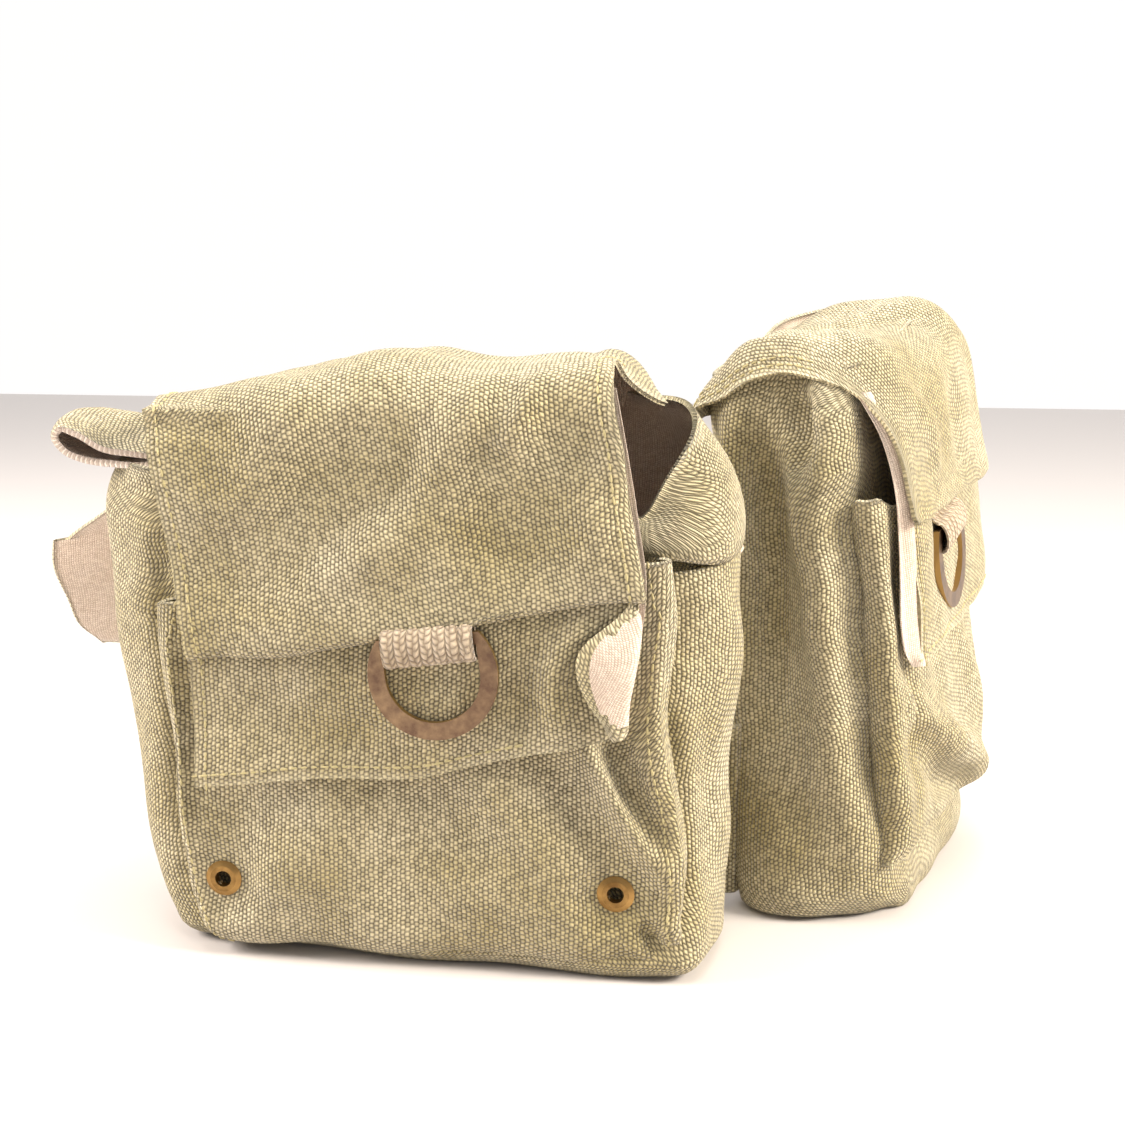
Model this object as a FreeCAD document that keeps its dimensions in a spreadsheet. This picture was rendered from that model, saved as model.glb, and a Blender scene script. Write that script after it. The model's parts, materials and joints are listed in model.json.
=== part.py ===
import FreeCAD, Part
import math
import os
import Sketcher

# Waist camera bag: two padded canvas pouches joined by a cloth hinge at their back edges.
# Millimetres, +Z up, origin on the floor under the middle of the main pouch, front towards -Y.
# Each pouch is drawn in its own upright frame and then slumped: its top leans and rises to one side.

os.makedirs("parts", exist_ok=True)
doc = FreeCAD.newDocument("camera_bag")

dims = {
    # cloth thicknesses, and the gap kept between bodies that move apart
    "canvas": 1.5, "foam": 5.0, "lining": 0.8, "webbing": 1.6, "body_gap": 0.4,
    # main pouch: half width of its panels, the rolled gussets outside them, and its slump
    "main_half": 78.0, "main_bulge": 25.0, "main_front": -26.0, "main_back": 24.0,
    "main_height": 190.0, "main_lean": -20.0, "main_rise": 0.13,
    "main_pocket_front": -40.0, "main_pocket_top": 126.0,
    "main_flap_half": 78.0, "main_flap_low": 72.0, "main_tuck": 118.0, "main_ring_across": 14.0,
    # side pouch, in its own frame
    "side_half": 55.0, "side_bulge": 10.0, "side_front": -25.0, "side_back": 25.0,
    "side_height": 200.0, "side_lean": 4.0, "side_rise": 0.18,
    "side_pocket_front": -37.0, "side_pocket_top": 136.0,
    "side_flap_half": 53.0, "side_flap_low": 96.0, "side_tuck": 139.0, "side_ring_across": -14.0,
    # the cloth hinge between the pouches, the rest angle, and its two canvas webs
    "hinge_across": 97.0, "hinge_back": 25.5, "hinge_start": 7.0, "rest_angle": 72.0, "side_tilt": 6.0,
    "side_lift": 2.8, "web_low": 8.0, "web_high": 70.0, "web_overlap": 30.0, "web_gap": 4.0,
    # corners, the mouth under the flap, and the lift of the pocket above the floor
    "corner": 8.0, "gusset_low": 10.0, "mouth_drop": 30.0, "mouth_gap": 3.0, "pocket_floor": 6.0,
    "ear_back": 14.0, "roll_flat": 8.0, "roll_shoulder": 9.0, "roll_share": 0.7,
    # ring, its webbing tab, and the eyelets
    "ring_outer": 21.2, "ring_inner": 15.5, "ring_bar_low": 9.0, "ring_bar_high": 13.0,
    "ring_thick": 2.2, "tab_half": 15.0, "tunnel": 2.6, "ring_drop": 15.2,
    "eyelet_flange": 6.2, "eyelet_bore": 2.8, "eyelet_wall": 0.7, "eyelet_crown": 1.1,
    "eyelet_across": 67.0, "eyelet_shift": -3.0, "eyelet_up": 29.0, "eyelet_rim": 0.3, "eyelet_hole_gap": 0.1,
    "washer_thick": 0.6,
    # hook-and-loop closure
    "tape_half": 40.0, "tape_width": 20.0, "tape_thick": 1.2, "tape_up": 12.0,
    # belt wings: tapered ends of the padded belt panel, and the leather patch on the left one
    "wing_low": 91.0, "wing_high": 151.0, "wing_taper": 14.0, "wing_left_reach": 40.0, "wing_gap": 2.0,
    "wing_right_reach": 62.0, "wing_right_turn": 53.0, "patch_size": 14.0, "patch_thick": 1.0,
    "patch_inset": 4.0,
}
sheet = doc.addObject("Spreadsheet::Sheet", "Dims")
for row, (alias, size) in enumerate(dims.items(), start=1):
    sheet.set(f"A{row}", alias)
    sheet.set(f"B{row}", str(size))
    sheet.setAlias(f"B{row}", alias)
doc.recompute()

parts = []


def value(expression):
    """The number that an expression over the sheet gives."""
    return float(sheet.evalExpression(expression))


def keep(shape_object, label, placement):
    """Name a finished sub-part, put it in its place and list it for export."""
    shape_object.Label = label
    shape_object.Placement = placement
    parts.append(shape_object)
    return shape_object


# frames

def side_frame():
    """Where the side pouch's own frame stands: swung round the cloth hinge by the rest angle."""
    turn = FreeCAD.Rotation(FreeCAD.Vector(0, 0, 1), dims["rest_angle"])
    hinge = FreeCAD.Vector(dims["hinge_across"], dims["hinge_back"], 0)
    reach = dims["hinge_start"] + dims["side_bulge"] + dims["side_half"]
    centre = FreeCAD.Vector(reach, -dims["side_back"] - dims["canvas"], dims["side_lift"])
    lean = FreeCAD.Rotation(FreeCAD.Vector(1, 0, 0), -dims["side_tilt"])
    return FreeCAD.Placement(hinge + turn.multVec(centre), turn * lean)


frames = {"main": FreeCAD.Placement(), "side": side_frame()}


def at(pouch, across, up):
    """Sketch coordinates of the point that slumps from (across, up) on an upright pouch."""
    height = f"Dims.{pouch}_height"
    level = f"({across}) + Dims.{pouch}_lean * ({up}) / {height}"
    rise = f"({up}) * (1 + Dims.{pouch}_rise * ({across}) / {height})"
    return level, rise


def flap_at(pouch, across, up):
    """The same for the flap, which hangs square to its own sloping top edge."""
    return at(pouch, across, up)[0], f"({up}) + Dims.{pouch}_rise * ({across})"


def on_face(pouch, across, depth, up, point=at):
    """Placement of a small piece that lies along the slumped face of a pouch."""
    level, rise = point(pouch, across, up)
    spot = FreeCAD.Vector(value(level), value(depth), value(rise))
    run = value(f"{point(pouch, '1', up)[1]} - ({point(pouch, '0', up)[1]})")
    slope = math.degrees(math.atan(run))
    return frames[pouch] * FreeCAD.Placement(spot, FreeCAD.Rotation(FreeCAD.Vector(0, 1, 0), -slope))


# sketches and slabs

def add_sketch(body, role, name):
    """An empty sketch on one of the body's own origin planes."""
    plane = next(p for p in body.Origin.OriginFeatures if p.Role == role)
    sketch = body.newObject("Sketcher::SketchObject", name)
    sketch.AttachmentSupport = [(plane, "")]
    sketch.MapMode = "FlatFace"
    return sketch


def add_polygon(sketch, points):
    """A closed polygon whose corners are held by expressions."""
    first = sketch.GeometryCount
    corners = [FreeCAD.Vector(value(x), value(y), 0) for x, y in points]
    for here, there in zip(corners, corners[1:] + corners[:1]):
        sketch.addGeometry(Part.LineSegment(here, there), False)
    for index, (x, y) in enumerate(points):
        line = first + index
        following = first + (index + 1) % len(points)
        sketch.addConstraint(Sketcher.Constraint("Coincident", line, 2, following, 1))
        for kind, size, guess in (("DistanceX", x, corners[index].x), ("DistanceY", y, corners[index].y)):
            held = sketch.addConstraint(Sketcher.Constraint(kind, -1, 1, line, 1, guess))
            sketch.setExpression(f"Constraints[{held}]", size)


def add_circle(sketch, x, y, radius):
    """A circle whose centre and radius are held by expressions."""
    middle = FreeCAD.Vector(value(x), value(y), 0)
    ring = sketch.addGeometry(Part.Circle(middle, FreeCAD.Vector(0, 0, 1), value(radius)), False)
    for kind, size, guess in (("DistanceX", x, middle.x), ("DistanceY", y, middle.y)):
        held = sketch.addConstraint(Sketcher.Constraint(kind, -1, 1, ring, 3, guess))
        sketch.setExpression(f"Constraints[{held}]", size)
    held = sketch.addConstraint(Sketcher.Constraint("Radius", ring, value(radius)))
    sketch.setExpression(f"Constraints[{held}]", radius)


def extrude(body, feature, name, points, low, high):
    """A Pad or Pocket of an XZ outline between two depths, low being nearer the front."""
    sketch = add_sketch(body, "XZ_Plane", f"{name}_outline")
    add_polygon(sketch, points)
    sketch.setExpression("AttachmentOffset.Base.z", f"-({high})")
    made = body.newObject(f"PartDesign::{feature}", name)
    made.Profile = sketch
    made.setExpression("Length", f"({high}) - ({low})")
    made.Reversed = feature == "Pocket"
    return sketch


def slab(pouch, name, points, low, high, hollow=None, holes=()):
    """A panel cut to an outline; hollow is a second outline and its depths, holes are circles."""
    label = f"{pouch}_{name}"
    body = doc.addObject("PartDesign::Body", label)
    sketch = extrude(body, "Pad", f"{label}_pad", points, low, high)
    for x, y, radius in holes:
        add_circle(sketch, x, y, radius)
    doc.recompute()
    if hollow:
        whole = body.Shape.Volume
        extrude(body, "Pocket", f"{label}_hollow", *hollow)
        doc.recompute()
        if body.Shape.Volume > whole - 1.0:
            raise RuntimeError(f"{label}: the hollow cuts nothing")
    return keep(body, label, frames[pouch])


def roll(pouch, name, points, side):
    """A rolled side gusset: its plan pushed up along the pouch's leaning edge."""
    label = f"{pouch}_{name}"
    body = doc.addObject("PartDesign::Body", label)
    sketch = add_sketch(body, "XY_Plane", f"{label}_plan")
    add_polygon(sketch, points)
    pad = body.newObject("PartDesign::Pad", f"{label}_pad")
    pad.Profile = sketch
    pad.UseCustomVector = True
    edge_height = f"(Dims.{pouch}_height + {side} * Dims.{pouch}_rise * Dims.{pouch}_half)"
    pad.Direction = FreeCAD.Vector(dims[f"{pouch}_lean"], 0, value(edge_height))
    pad.AlongSketchNormal = True
    low = "Dims.gusset_low"
    foot = f"{side} * (Dims.{pouch}_half + Dims.roll_share * Dims.{pouch}_bulge)"
    _, top = at(pouch, foot, f"Dims.{pouch}_height - Dims.mouth_drop")
    sketch.setExpression("AttachmentOffset.Base.z", low)
    sketch.setExpression("AttachmentOffset.Base.x", f"Dims.{pouch}_lean * {low} / {edge_height}")
    pad.setExpression("Length", f"{top} - {low}")
    doc.recompute()
    return keep(body, label, frames[pouch])


# outlines, as corner lists of a pouch's slumped face

def bag_outline(pouch, grow, floor, top):
    """A bag-shaped outline with cut bottom corners, open end up; grow widens it past the panels."""
    half = f"(Dims.{pouch}_half + ({grow}))"
    points = []
    for side in (-1, 1):
        edge = [
            at(pouch, f"{side} * {half}", top),
            at(pouch, f"{side} * {half}", f"({floor}) + Dims.corner"),
            at(pouch, f"{side} * ({half} - Dims.corner)", floor),
        ]
        points += edge if side < 0 else edge[::-1]
    return points


def channel_outline(pouch, outer, inner, top, inner_top=None):
    """A U-shaped outline between two bag outlines, each given as (grow, floor)."""
    outside = bag_outline(pouch, *outer, top)
    inside = bag_outline(pouch, *inner, inner_top or top)
    return outside + inside[::-1]


def band_outline(pouch, left, right, low, high):
    """A four-cornered outline on the flap between two widths and two heights."""
    corners = ((left, low), (right, low), (right, high), (left, high))
    return [flap_at(pouch, across, up) for across, up in corners]


def roll_outline(pouch, side, shrink):
    """Plan of a rolled side gusset, from the front panel's edge round to the back panel's."""
    edge = f"Dims.{pouch}_half"
    swell = f"(Dims.{pouch}_bulge - ({shrink}))"
    front = f"(Dims.{pouch}_front + Dims.canvas + ({shrink}))"
    back = f"(Dims.{pouch}_back - Dims.canvas - ({shrink}))"
    middle = f"(Dims.{pouch}_front + Dims.{pouch}_back) / 2"
    points = [(edge, front), (f"{edge} + Dims.roll_share * {swell}", f"{front} + Dims.roll_shoulder"),
              (f"{edge} + {swell}", f"{middle} - Dims.roll_flat"),
              (f"{edge} + {swell}", f"{middle} + Dims.roll_flat"),
              (f"{edge} + Dims.roll_share * {swell}", f"{back} - Dims.roll_shoulder"), (edge, back)]
    return [(f"{side} * ({across})", depth) for across, depth in points]


# pouch

def add_pouch_shell(pouch):
    """Outer canvas, foam and lining of one pouch."""
    front, back = f"Dims.{pouch}_front", f"Dims.{pouch}_back"
    rim = f"Dims.{pouch}_height - Dims.mouth_gap"
    mouth = f"Dims.{pouch}_height - Dims.mouth_drop"
    wall = "Dims.canvas + Dims.foam"
    panel = bag_outline(pouch, "0", "0", rim)
    slab(pouch, "front_canvas", panel, front, f"{front} + Dims.canvas")
    slab(pouch, "back_canvas", panel, f"{back} - Dims.canvas", back)
    slab(pouch, "front_foam", bag_outline(pouch, "0", "Dims.canvas", rim),
         f"{front} + Dims.canvas", f"{front} + {wall}")
    slab(pouch, "back_foam", bag_outline(pouch, "0", "Dims.canvas", rim),
         f"{back} - ({wall})", f"{back} - Dims.canvas")
    for name, low, high in (("bottom_canvas", "0", "Dims.canvas"), ("bottom_foam", "Dims.canvas", wall)):
        half = f"(Dims.{pouch}_half - Dims.corner)"
        corners = ((f"-{half}", low), (half, low), (half, high), (f"-{half}", high))
        slab(pouch, name, [at(pouch, across, up) for across, up in corners],
             f"{front} + {wall}" if "foam" in name else f"{front} + Dims.canvas",
             f"{back} - ({wall})" if "foam" in name else f"{back} - Dims.canvas")
    for name, side in (("left", -1), ("right", 1)):
        roll(pouch, f"gusset_{name}_foam", roll_outline(pouch, side, "Dims.canvas"), side)
        outside = roll_outline(pouch, side, "0")
        inside = roll_outline(pouch, side, "Dims.canvas")
        roll(pouch, f"gusset_{name}_canvas", outside + inside[::-1], side)
    slab(pouch, "lining", bag_outline(pouch, "0", wall, mouth),
         f"{front} + {wall}", f"{back} - ({wall})",
         hollow=(bag_outline(pouch, "-Dims.lining", f"{wall} + Dims.lining", rim),
                 f"{front} + {wall} + Dims.lining", f"{back} - ({wall}) - Dims.lining"))


def add_ears(pouch):
    """Storm ears: canvas collars that close the two ends of the mouth under the flap."""
    for name, side in (("ear_left", -1), ("ear_right", 1)):
        foot = f"(Dims.{pouch}_half + Dims.roll_share * Dims.{pouch}_bulge)"
        head = f"(Dims.{pouch}_half + 2 * Dims.canvas)"
        low = f"Dims.{pouch}_height - Dims.mouth_drop + Dims.body_gap"
        high = f"Dims.{pouch}_height - Dims.mouth_gap"
        points = [
            at(pouch, f"{side} * ({foot} - Dims.canvas)", low), at(pouch, f"{side} * {foot}", low),
            at(pouch, f"{side} * {head}", high), at(pouch, f"{side} * ({head} - Dims.canvas)", high),
        ]
        slab(pouch, name, points if side > 0 else points[::-1],
             f"Dims.{pouch}_front + Dims.ear_back", f"Dims.{pouch}_back - Dims.ear_back")


def add_pocket(pouch, holes=()):
    """Front pocket: a panel held off the pouch by a gusset strip."""
    face = f"Dims.{pouch}_pocket_front"
    top = f"Dims.{pouch}_pocket_top"
    slab(pouch, "pocket_panel", bag_outline(pouch, "0", "Dims.pocket_floor", top),
         face, f"{face} + Dims.canvas", holes=holes)
    slab(pouch, "pocket_gusset",
         channel_outline(pouch, ("0", "Dims.pocket_floor"),
                         ("-Dims.canvas", "Dims.pocket_floor + Dims.canvas"), top),
         f"{face} + Dims.canvas", f"Dims.{pouch}_front")


# flap

def flap_face(pouch):
    """Depth of the flap's inner face, just in front of the closed hook-and-loop tapes."""
    return f"(Dims.{pouch}_pocket_front - 2 * Dims.tape_thick - Dims.body_gap)"


def add_closure(pouch):
    """Loop tape on the pocket panel and hook tape inside the flap."""
    low = f"Dims.{pouch}_flap_low + Dims.tape_up"
    points = band_outline(pouch, "-Dims.tape_half", "Dims.tape_half", low, f"{low} + Dims.tape_width")
    face = f"Dims.{pouch}_pocket_front"
    slab(pouch, "loop_tape", points, f"{face} - Dims.tape_thick", face)
    slab(pouch, "hook_tape", points, flap_face(pouch), f"{flap_face(pouch)} + Dims.tape_thick")


def add_flap(pouch):
    """Flap: a top panel from the back seam, and a front drop of two canvas layers on a lining."""
    half = f"Dims.{pouch}_flap_half"
    under = f"Dims.{pouch}_height + Dims.body_gap"
    middle = f"{under} + Dims.lining"
    over = f"{middle} + Dims.canvas"
    inner = flap_face(pouch)
    seam = f"Dims.{pouch}_back + Dims.canvas"
    front = f"{inner} - Dims.lining - Dims.canvas + Dims.body_gap"

    def band(low, high):
        return band_outline(pouch, f"-{half}", half, low, high)

    slab(pouch, "flap_top_lining", band(under, middle), front, seam)
    slab(pouch, "flap_top_canvas", band(middle, over), front, seam)
    below = f"Dims.{pouch}_height - Dims.mouth_gap"
    low = f"Dims.{pouch}_flap_low"
    slab(pouch, "flap_drop_lining", band(low, below), f"{inner} - Dims.lining", inner)
    slab(pouch, "flap_lower_canvas", band(low, below),
         f"{inner} - Dims.lining - Dims.canvas", f"{inner} - Dims.lining")
    slab(pouch, "flap_upper_canvas", band(f"Dims.{pouch}_tuck", over),
         f"{inner} - Dims.lining - 2 * Dims.canvas", f"{inner} - Dims.lining - Dims.canvas")


# ring and tab

def ring_placement(pouch):
    """The ring's centre: its bar turns in the webbing loop just below the tuck of the flap."""
    depth = f"{flap_face(pouch)} - Dims.lining - Dims.canvas - Dims.tunnel - Dims.webbing"
    up = f"Dims.{pouch}_tuck - Dims.ring_drop"
    return on_face(pouch, f"Dims.{pouch}_ring_across", depth, up, flap_at)


def add_ring(pouch):
    """A flat stamped brass D-ring: a round ring cut by a chord, with a squared bar end."""
    label = f"{pouch}_d_ring"
    body = doc.addObject("PartDesign::Body", label)
    sketch = add_sketch(body, "XZ_Plane", f"{label}_outline")
    outer, inner = dims["ring_outer"], dims["ring_inner"]
    low, high = dims["ring_bar_low"], dims["ring_bar_high"]
    centre, normal = FreeCAD.Vector(0, 0, 0), FreeCAD.Vector(0, 0, 1)
    reach = math.sqrt(outer ** 2 - high ** 2)
    rise = math.atan2(high, reach)
    corners = [FreeCAD.Vector(inner, 0, 0), FreeCAD.Vector(inner, low, 0),
               FreeCAD.Vector(-inner, low, 0), FreeCAD.Vector(-inner, 0, 0)]
    rim = sketch.addGeometry(
        Part.ArcOfCircle(Part.Circle(centre, normal, outer), math.pi - rise, 2 * math.pi + rise), False)
    chord = sketch.addGeometry(
        Part.LineSegment(FreeCAD.Vector(reach, high, 0), FreeCAD.Vector(-reach, high, 0)), False)
    bowl = sketch.addGeometry(
        Part.ArcOfCircle(Part.Circle(centre, normal, inner), math.pi, 2 * math.pi), False)
    right, bar, left = [
        sketch.addGeometry(Part.LineSegment(here, there), False)
        for here, there in zip(corners, corners[1:])]
    for arc in (rim, bowl):
        sketch.addConstraint(Sketcher.Constraint("Coincident", arc, 3, -1, 1))
    joins = ((rim, 2, chord, 1), (chord, 2, rim, 1), (bowl, 2, right, 1), (right, 2, bar, 1),
             (bar, 2, left, 1), (left, 2, bowl, 1))
    for first, first_end, second, second_end in joins:
        sketch.addConstraint(Sketcher.Constraint("Coincident", first, first_end, second, second_end))
    for line in (chord, bar):
        sketch.addConstraint(Sketcher.Constraint("Horizontal", line))
    for line in (right, left):
        sketch.addConstraint(Sketcher.Constraint("Vertical", line))
    sketch.addConstraint(Sketcher.Constraint("PointOnObject", bowl, 1, -1))
    for constraint, size in (
        (Sketcher.Constraint("Radius", rim, outer), "Dims.ring_outer"),
        (Sketcher.Constraint("Radius", bowl, inner), "Dims.ring_inner"),
        (Sketcher.Constraint("DistanceY", -1, 1, chord, 1, high), "Dims.ring_bar_high"),
        (Sketcher.Constraint("DistanceY", -1, 1, bar, 1, low), "Dims.ring_bar_low"),
    ):
        held = sketch.addConstraint(constraint)
        sketch.setExpression(f"Constraints[{held}]", size)
    pad = body.newObject("PartDesign::Pad", f"{label}_pad")
    pad.Profile = sketch
    pad.Midplane = True
    pad.setExpression("Length", "Dims.ring_thick")
    doc.recompute()
    keep(body, label, ring_placement(pouch))


def add_ring_tab(pouch):
    """Folded webbing: a strip that comes out under the tuck and loops round the ring's bar."""
    label = f"{pouch}_ring_tab"
    axis_up = "(Dims.ring_bar_low + Dims.ring_bar_high) / 2"
    loop_radius = "(Dims.tunnel + Dims.webbing)"
    pieces = {}
    for name, radius in (("loop", loop_radius), ("tunnel", "Dims.tunnel")):
        rod = doc.addObject("Part::Cylinder", f"{label}_{name}")
        rod.Placement.Rotation = FreeCAD.Rotation(FreeCAD.Vector(0, 1, 0), 90)
        rod.setExpression("Radius", radius)
        rod.setExpression("Height", "2 * Dims.tab_half")
        rod.setExpression("Placement.Base.x", "-Dims.tab_half")
        rod.setExpression("Placement.Base.z", axis_up)
        pieces[name] = rod
    strip = doc.addObject("Part::Box", f"{label}_strip")
    strip.setExpression("Length", "2 * Dims.tab_half")
    strip.setExpression("Width", "Dims.webbing")
    strip.setExpression("Height", f"Dims.ring_drop - Dims.body_gap - {axis_up}")
    strip.setExpression("Placement.Base.x", "-Dims.tab_half")
    strip.setExpression("Placement.Base.y", "Dims.tunnel")
    strip.setExpression("Placement.Base.z", axis_up)
    solid = doc.addObject("Part::Fuse", f"{label}_solid")
    solid.Base, solid.Tool = pieces["loop"], strip
    tab = doc.addObject("Part::Cut", label)
    tab.Base, tab.Tool = solid, pieces["tunnel"]
    doc.recompute()
    keep(tab, label, ring_placement(pouch))


# eyelets

def revolve(label, name, points, placement):
    """A turned piece about the Y axis from a radius-and-depth profile."""
    body = doc.addObject("PartDesign::Body", label)
    sketch = add_sketch(body, "XY_Plane", f"{label}_profile")
    add_polygon(sketch, points)
    turned = body.newObject("PartDesign::Revolution", f"{label}_{name}")
    turned.Profile = sketch
    turned.ReferenceAxis = (sketch, ["V_Axis"])
    doc.recompute()
    keep(body, label, placement)


def add_eyelets():
    """Brass eyelets through the pocket panel's lower corners, each rolled over a washer behind it."""
    bore, wall = "Dims.eyelet_bore", "(Dims.eyelet_bore + Dims.eyelet_wall)"
    flange, crown = "Dims.eyelet_flange", "Dims.eyelet_crown"
    through = "(Dims.canvas + Dims.washer_thick)"
    # flange with a low crown in front, then the barrel through cloth and washer
    barrel = [(bore, f"-{crown}"), (f"({bore} + {flange}) / 2", f"-{crown}"), (flange, "-Dims.eyelet_rim"),
              (flange, "0"), (wall, "0"), (wall, through), (bore, through)]
    washer = [(wall, "0"), (flange, "0"), (flange, "Dims.washer_thick"), (wall, "Dims.washer_thick")]
    for name, side in (("left", -1), ("right", 1)):
        across = f"Dims.eyelet_shift + {side} * Dims.eyelet_across"
        face = on_face("main", across, "Dims.main_pocket_front", "Dims.eyelet_up")
        behind = on_face("main", across, "Dims.main_pocket_front + Dims.canvas", "Dims.eyelet_up")
        revolve(f"eyelet_{name}", "turned", barrel, face)
        revolve(f"eyelet_washer_{name}", "turned", washer, behind)


def eyelet_holes():
    """The two punched holes in the pocket panel."""
    radius = "Dims.eyelet_bore + Dims.eyelet_wall + Dims.eyelet_hole_gap"
    spots = [f"Dims.eyelet_shift + {side} * Dims.eyelet_across" for side in (-1, 1)]
    return [(*at("main", across, "Dims.eyelet_up"), radius) for across in spots]


# cloth hinge and wings

def add_webs():
    """The two canvas webs that meet at the cloth hinge, one sewn to the back of each pouch."""
    # square webs, so they are drawn without the pouches' slump
    right = "Dims.hinge_across - Dims.web_gap"
    left = "Dims.main_half - Dims.web_overlap"
    start = "-(Dims.hinge_start + Dims.side_bulge + Dims.side_half)"
    spans = {"main": (left, right), "side": (f"{start} + Dims.canvas", f"{start} + Dims.web_overlap")}
    for pouch, (low, high) in spans.items():
        points = [(low, "Dims.web_low"), (high, "Dims.web_low"), (high, "Dims.web_high"),
                  (low, "Dims.web_high")]
        slab(pouch, "hinge_web", points, f"Dims.{pouch}_back", f"Dims.{pouch}_back + Dims.canvas")


def wing_root(pouch, side):
    """Across position of a wing's hinge, just outside the pouch's rolled gusset."""
    return f"{side} * (Dims.{pouch}_half + Dims.{pouch}_bulge + Dims.wing_gap)"


def add_wing(pouch, name, side, turn, spare, layers):
    """Belt wing: a tapered end of canvas and ribbed lining; layers names them from the front."""
    middle = "(Dims.wing_low + Dims.wing_high) / 2"
    root, tip = "0", f"{side} * Dims.{name}_reach"
    points = [(root, "Dims.wing_low"), (tip, f"{middle} - Dims.wing_taper"),
              (tip, f"{middle} + Dims.wing_taper"), (root, "Dims.wing_high")]
    depth = f"Dims.{pouch}_back + Dims.canvas + Dims.body_gap"
    lean = f"Dims.{pouch}_lean * {middle} / Dims.{pouch}_height"
    spot = FreeCAD.Vector(value(f"{wing_root(pouch, side)} + {lean} + {side} * ({spare})"), value(depth), 0)
    swing = FreeCAD.Rotation(FreeCAD.Vector(0, 0, 1), turn)
    placement = frames[pouch] * FreeCAD.Placement(spot, swing)
    for layer, low, high in zip(layers, ("0", "Dims.canvas"), ("Dims.canvas", "2 * Dims.canvas")):
        body = doc.addObject("PartDesign::Body", f"{name}_{layer}")
        extrude(body, "Pad", f"{name}_{layer}_pad", points if side > 0 else points[::-1], low, high)
        doc.recompute()
        keep(body, f"{name}_{layer}", placement)
    return placement


def add_patch(placement):
    """Small leather patch that covers the belt stitching on the left wing."""
    low = "(Dims.wing_low + Dims.wing_high - Dims.patch_size) / 2"
    near, far = "-Dims.patch_inset", "-Dims.patch_size - Dims.patch_inset"
    points = [(far, low), (near, low), (near, f"{low} + Dims.patch_size"), (far, f"{low} + Dims.patch_size")]
    body = doc.addObject("PartDesign::Body", "wing_left_patch")
    extrude(body, "Pad", "wing_left_patch_pad", points, "-Dims.patch_thick", "0")
    doc.recompute()
    keep(body, "wing_left_patch", placement)


# build, check and write

for pouch in frames:
    add_pouch_shell(pouch)
    add_ears(pouch)
    add_pocket(pouch, holes=eyelet_holes() if pouch == "main" else ())
    add_closure(pouch)
    add_flap(pouch)
    add_ring(pouch)
    add_ring_tab(pouch)
add_eyelets()
add_webs()
add_patch(add_wing("main", "wing_left", -1, 0.0, "Dims.patch_thick", ("lining", "canvas")))
add_wing("side", "wing_right", 1, -dims["wing_right_turn"], "Dims.canvas", ("canvas", "lining"))

doc.recompute()
for item in doc.Objects:
    if "Invalid" in item.State or "Error" in item.State:
        raise RuntimeError(f"{item.Label}: {item.State}")
for item in parts:
    if item.Shape.isNull() or not item.Shape.isValid() or not item.Shape.Solids:
        raise RuntimeError(f"{item.Label}: no valid solid")
for item in parts:
    item.Shape.exportStep(f"parts/{item.Label}.step")
    box = item.Shape.BoundBox
    print(f"{item.Label}: {item.Shape.Volume / 1000:.2f} cm3, z {box.ZMin:.1f} to {box.ZMax:.1f}")
print(len(parts), "parts")
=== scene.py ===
import json
import math
import bpy
import bmesh
import numpy as np
from mathutils import Matrix, Vector, noise


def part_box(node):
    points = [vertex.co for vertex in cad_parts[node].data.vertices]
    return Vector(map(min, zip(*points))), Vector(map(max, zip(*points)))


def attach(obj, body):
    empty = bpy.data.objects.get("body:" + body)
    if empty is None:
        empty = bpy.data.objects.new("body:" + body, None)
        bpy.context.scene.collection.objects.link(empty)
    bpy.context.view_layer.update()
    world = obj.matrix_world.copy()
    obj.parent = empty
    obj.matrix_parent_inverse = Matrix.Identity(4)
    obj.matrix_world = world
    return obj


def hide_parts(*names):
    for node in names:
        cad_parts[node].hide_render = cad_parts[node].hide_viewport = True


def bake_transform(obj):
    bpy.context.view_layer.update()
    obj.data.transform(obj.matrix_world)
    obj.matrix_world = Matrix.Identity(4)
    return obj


# Waist camera bag of washed canvas: two slumped pouches round a cloth hinge. Shapes are drawn in
# millimetres in each pouch's own frame (x across, y depth with the front at minus, z up).

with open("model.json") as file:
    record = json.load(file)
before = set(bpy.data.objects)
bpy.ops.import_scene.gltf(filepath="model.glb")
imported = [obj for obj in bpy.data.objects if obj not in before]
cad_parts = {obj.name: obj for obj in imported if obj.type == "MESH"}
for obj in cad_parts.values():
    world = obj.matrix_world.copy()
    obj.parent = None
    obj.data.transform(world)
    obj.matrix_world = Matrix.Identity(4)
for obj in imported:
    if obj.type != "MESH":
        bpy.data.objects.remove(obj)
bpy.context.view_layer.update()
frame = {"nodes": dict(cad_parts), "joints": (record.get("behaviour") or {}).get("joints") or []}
joints = {joint["name"]: joint for joint in frame["joints"]}
scene = bpy.context.scene
mm = 0.001

# camera just above the table's height, turned a little to the left
view = dict(place=(0.1141, -0.5134, 0.237), pitch=78.6, yaw=8.5, lens=49.6)
camera = bpy.data.objects.new("camera", bpy.data.cameras.new("camera"))
camera.location = view["place"]
camera.rotation_euler = (math.radians(view["pitch"]), 0, math.radians(view["yaw"]))
camera.data.lens = view["lens"]
camera.data.sensor_width = 36
camera.data.clip_start = 0.01
scene.collection.objects.link(camera)
scene.camera = camera

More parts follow.
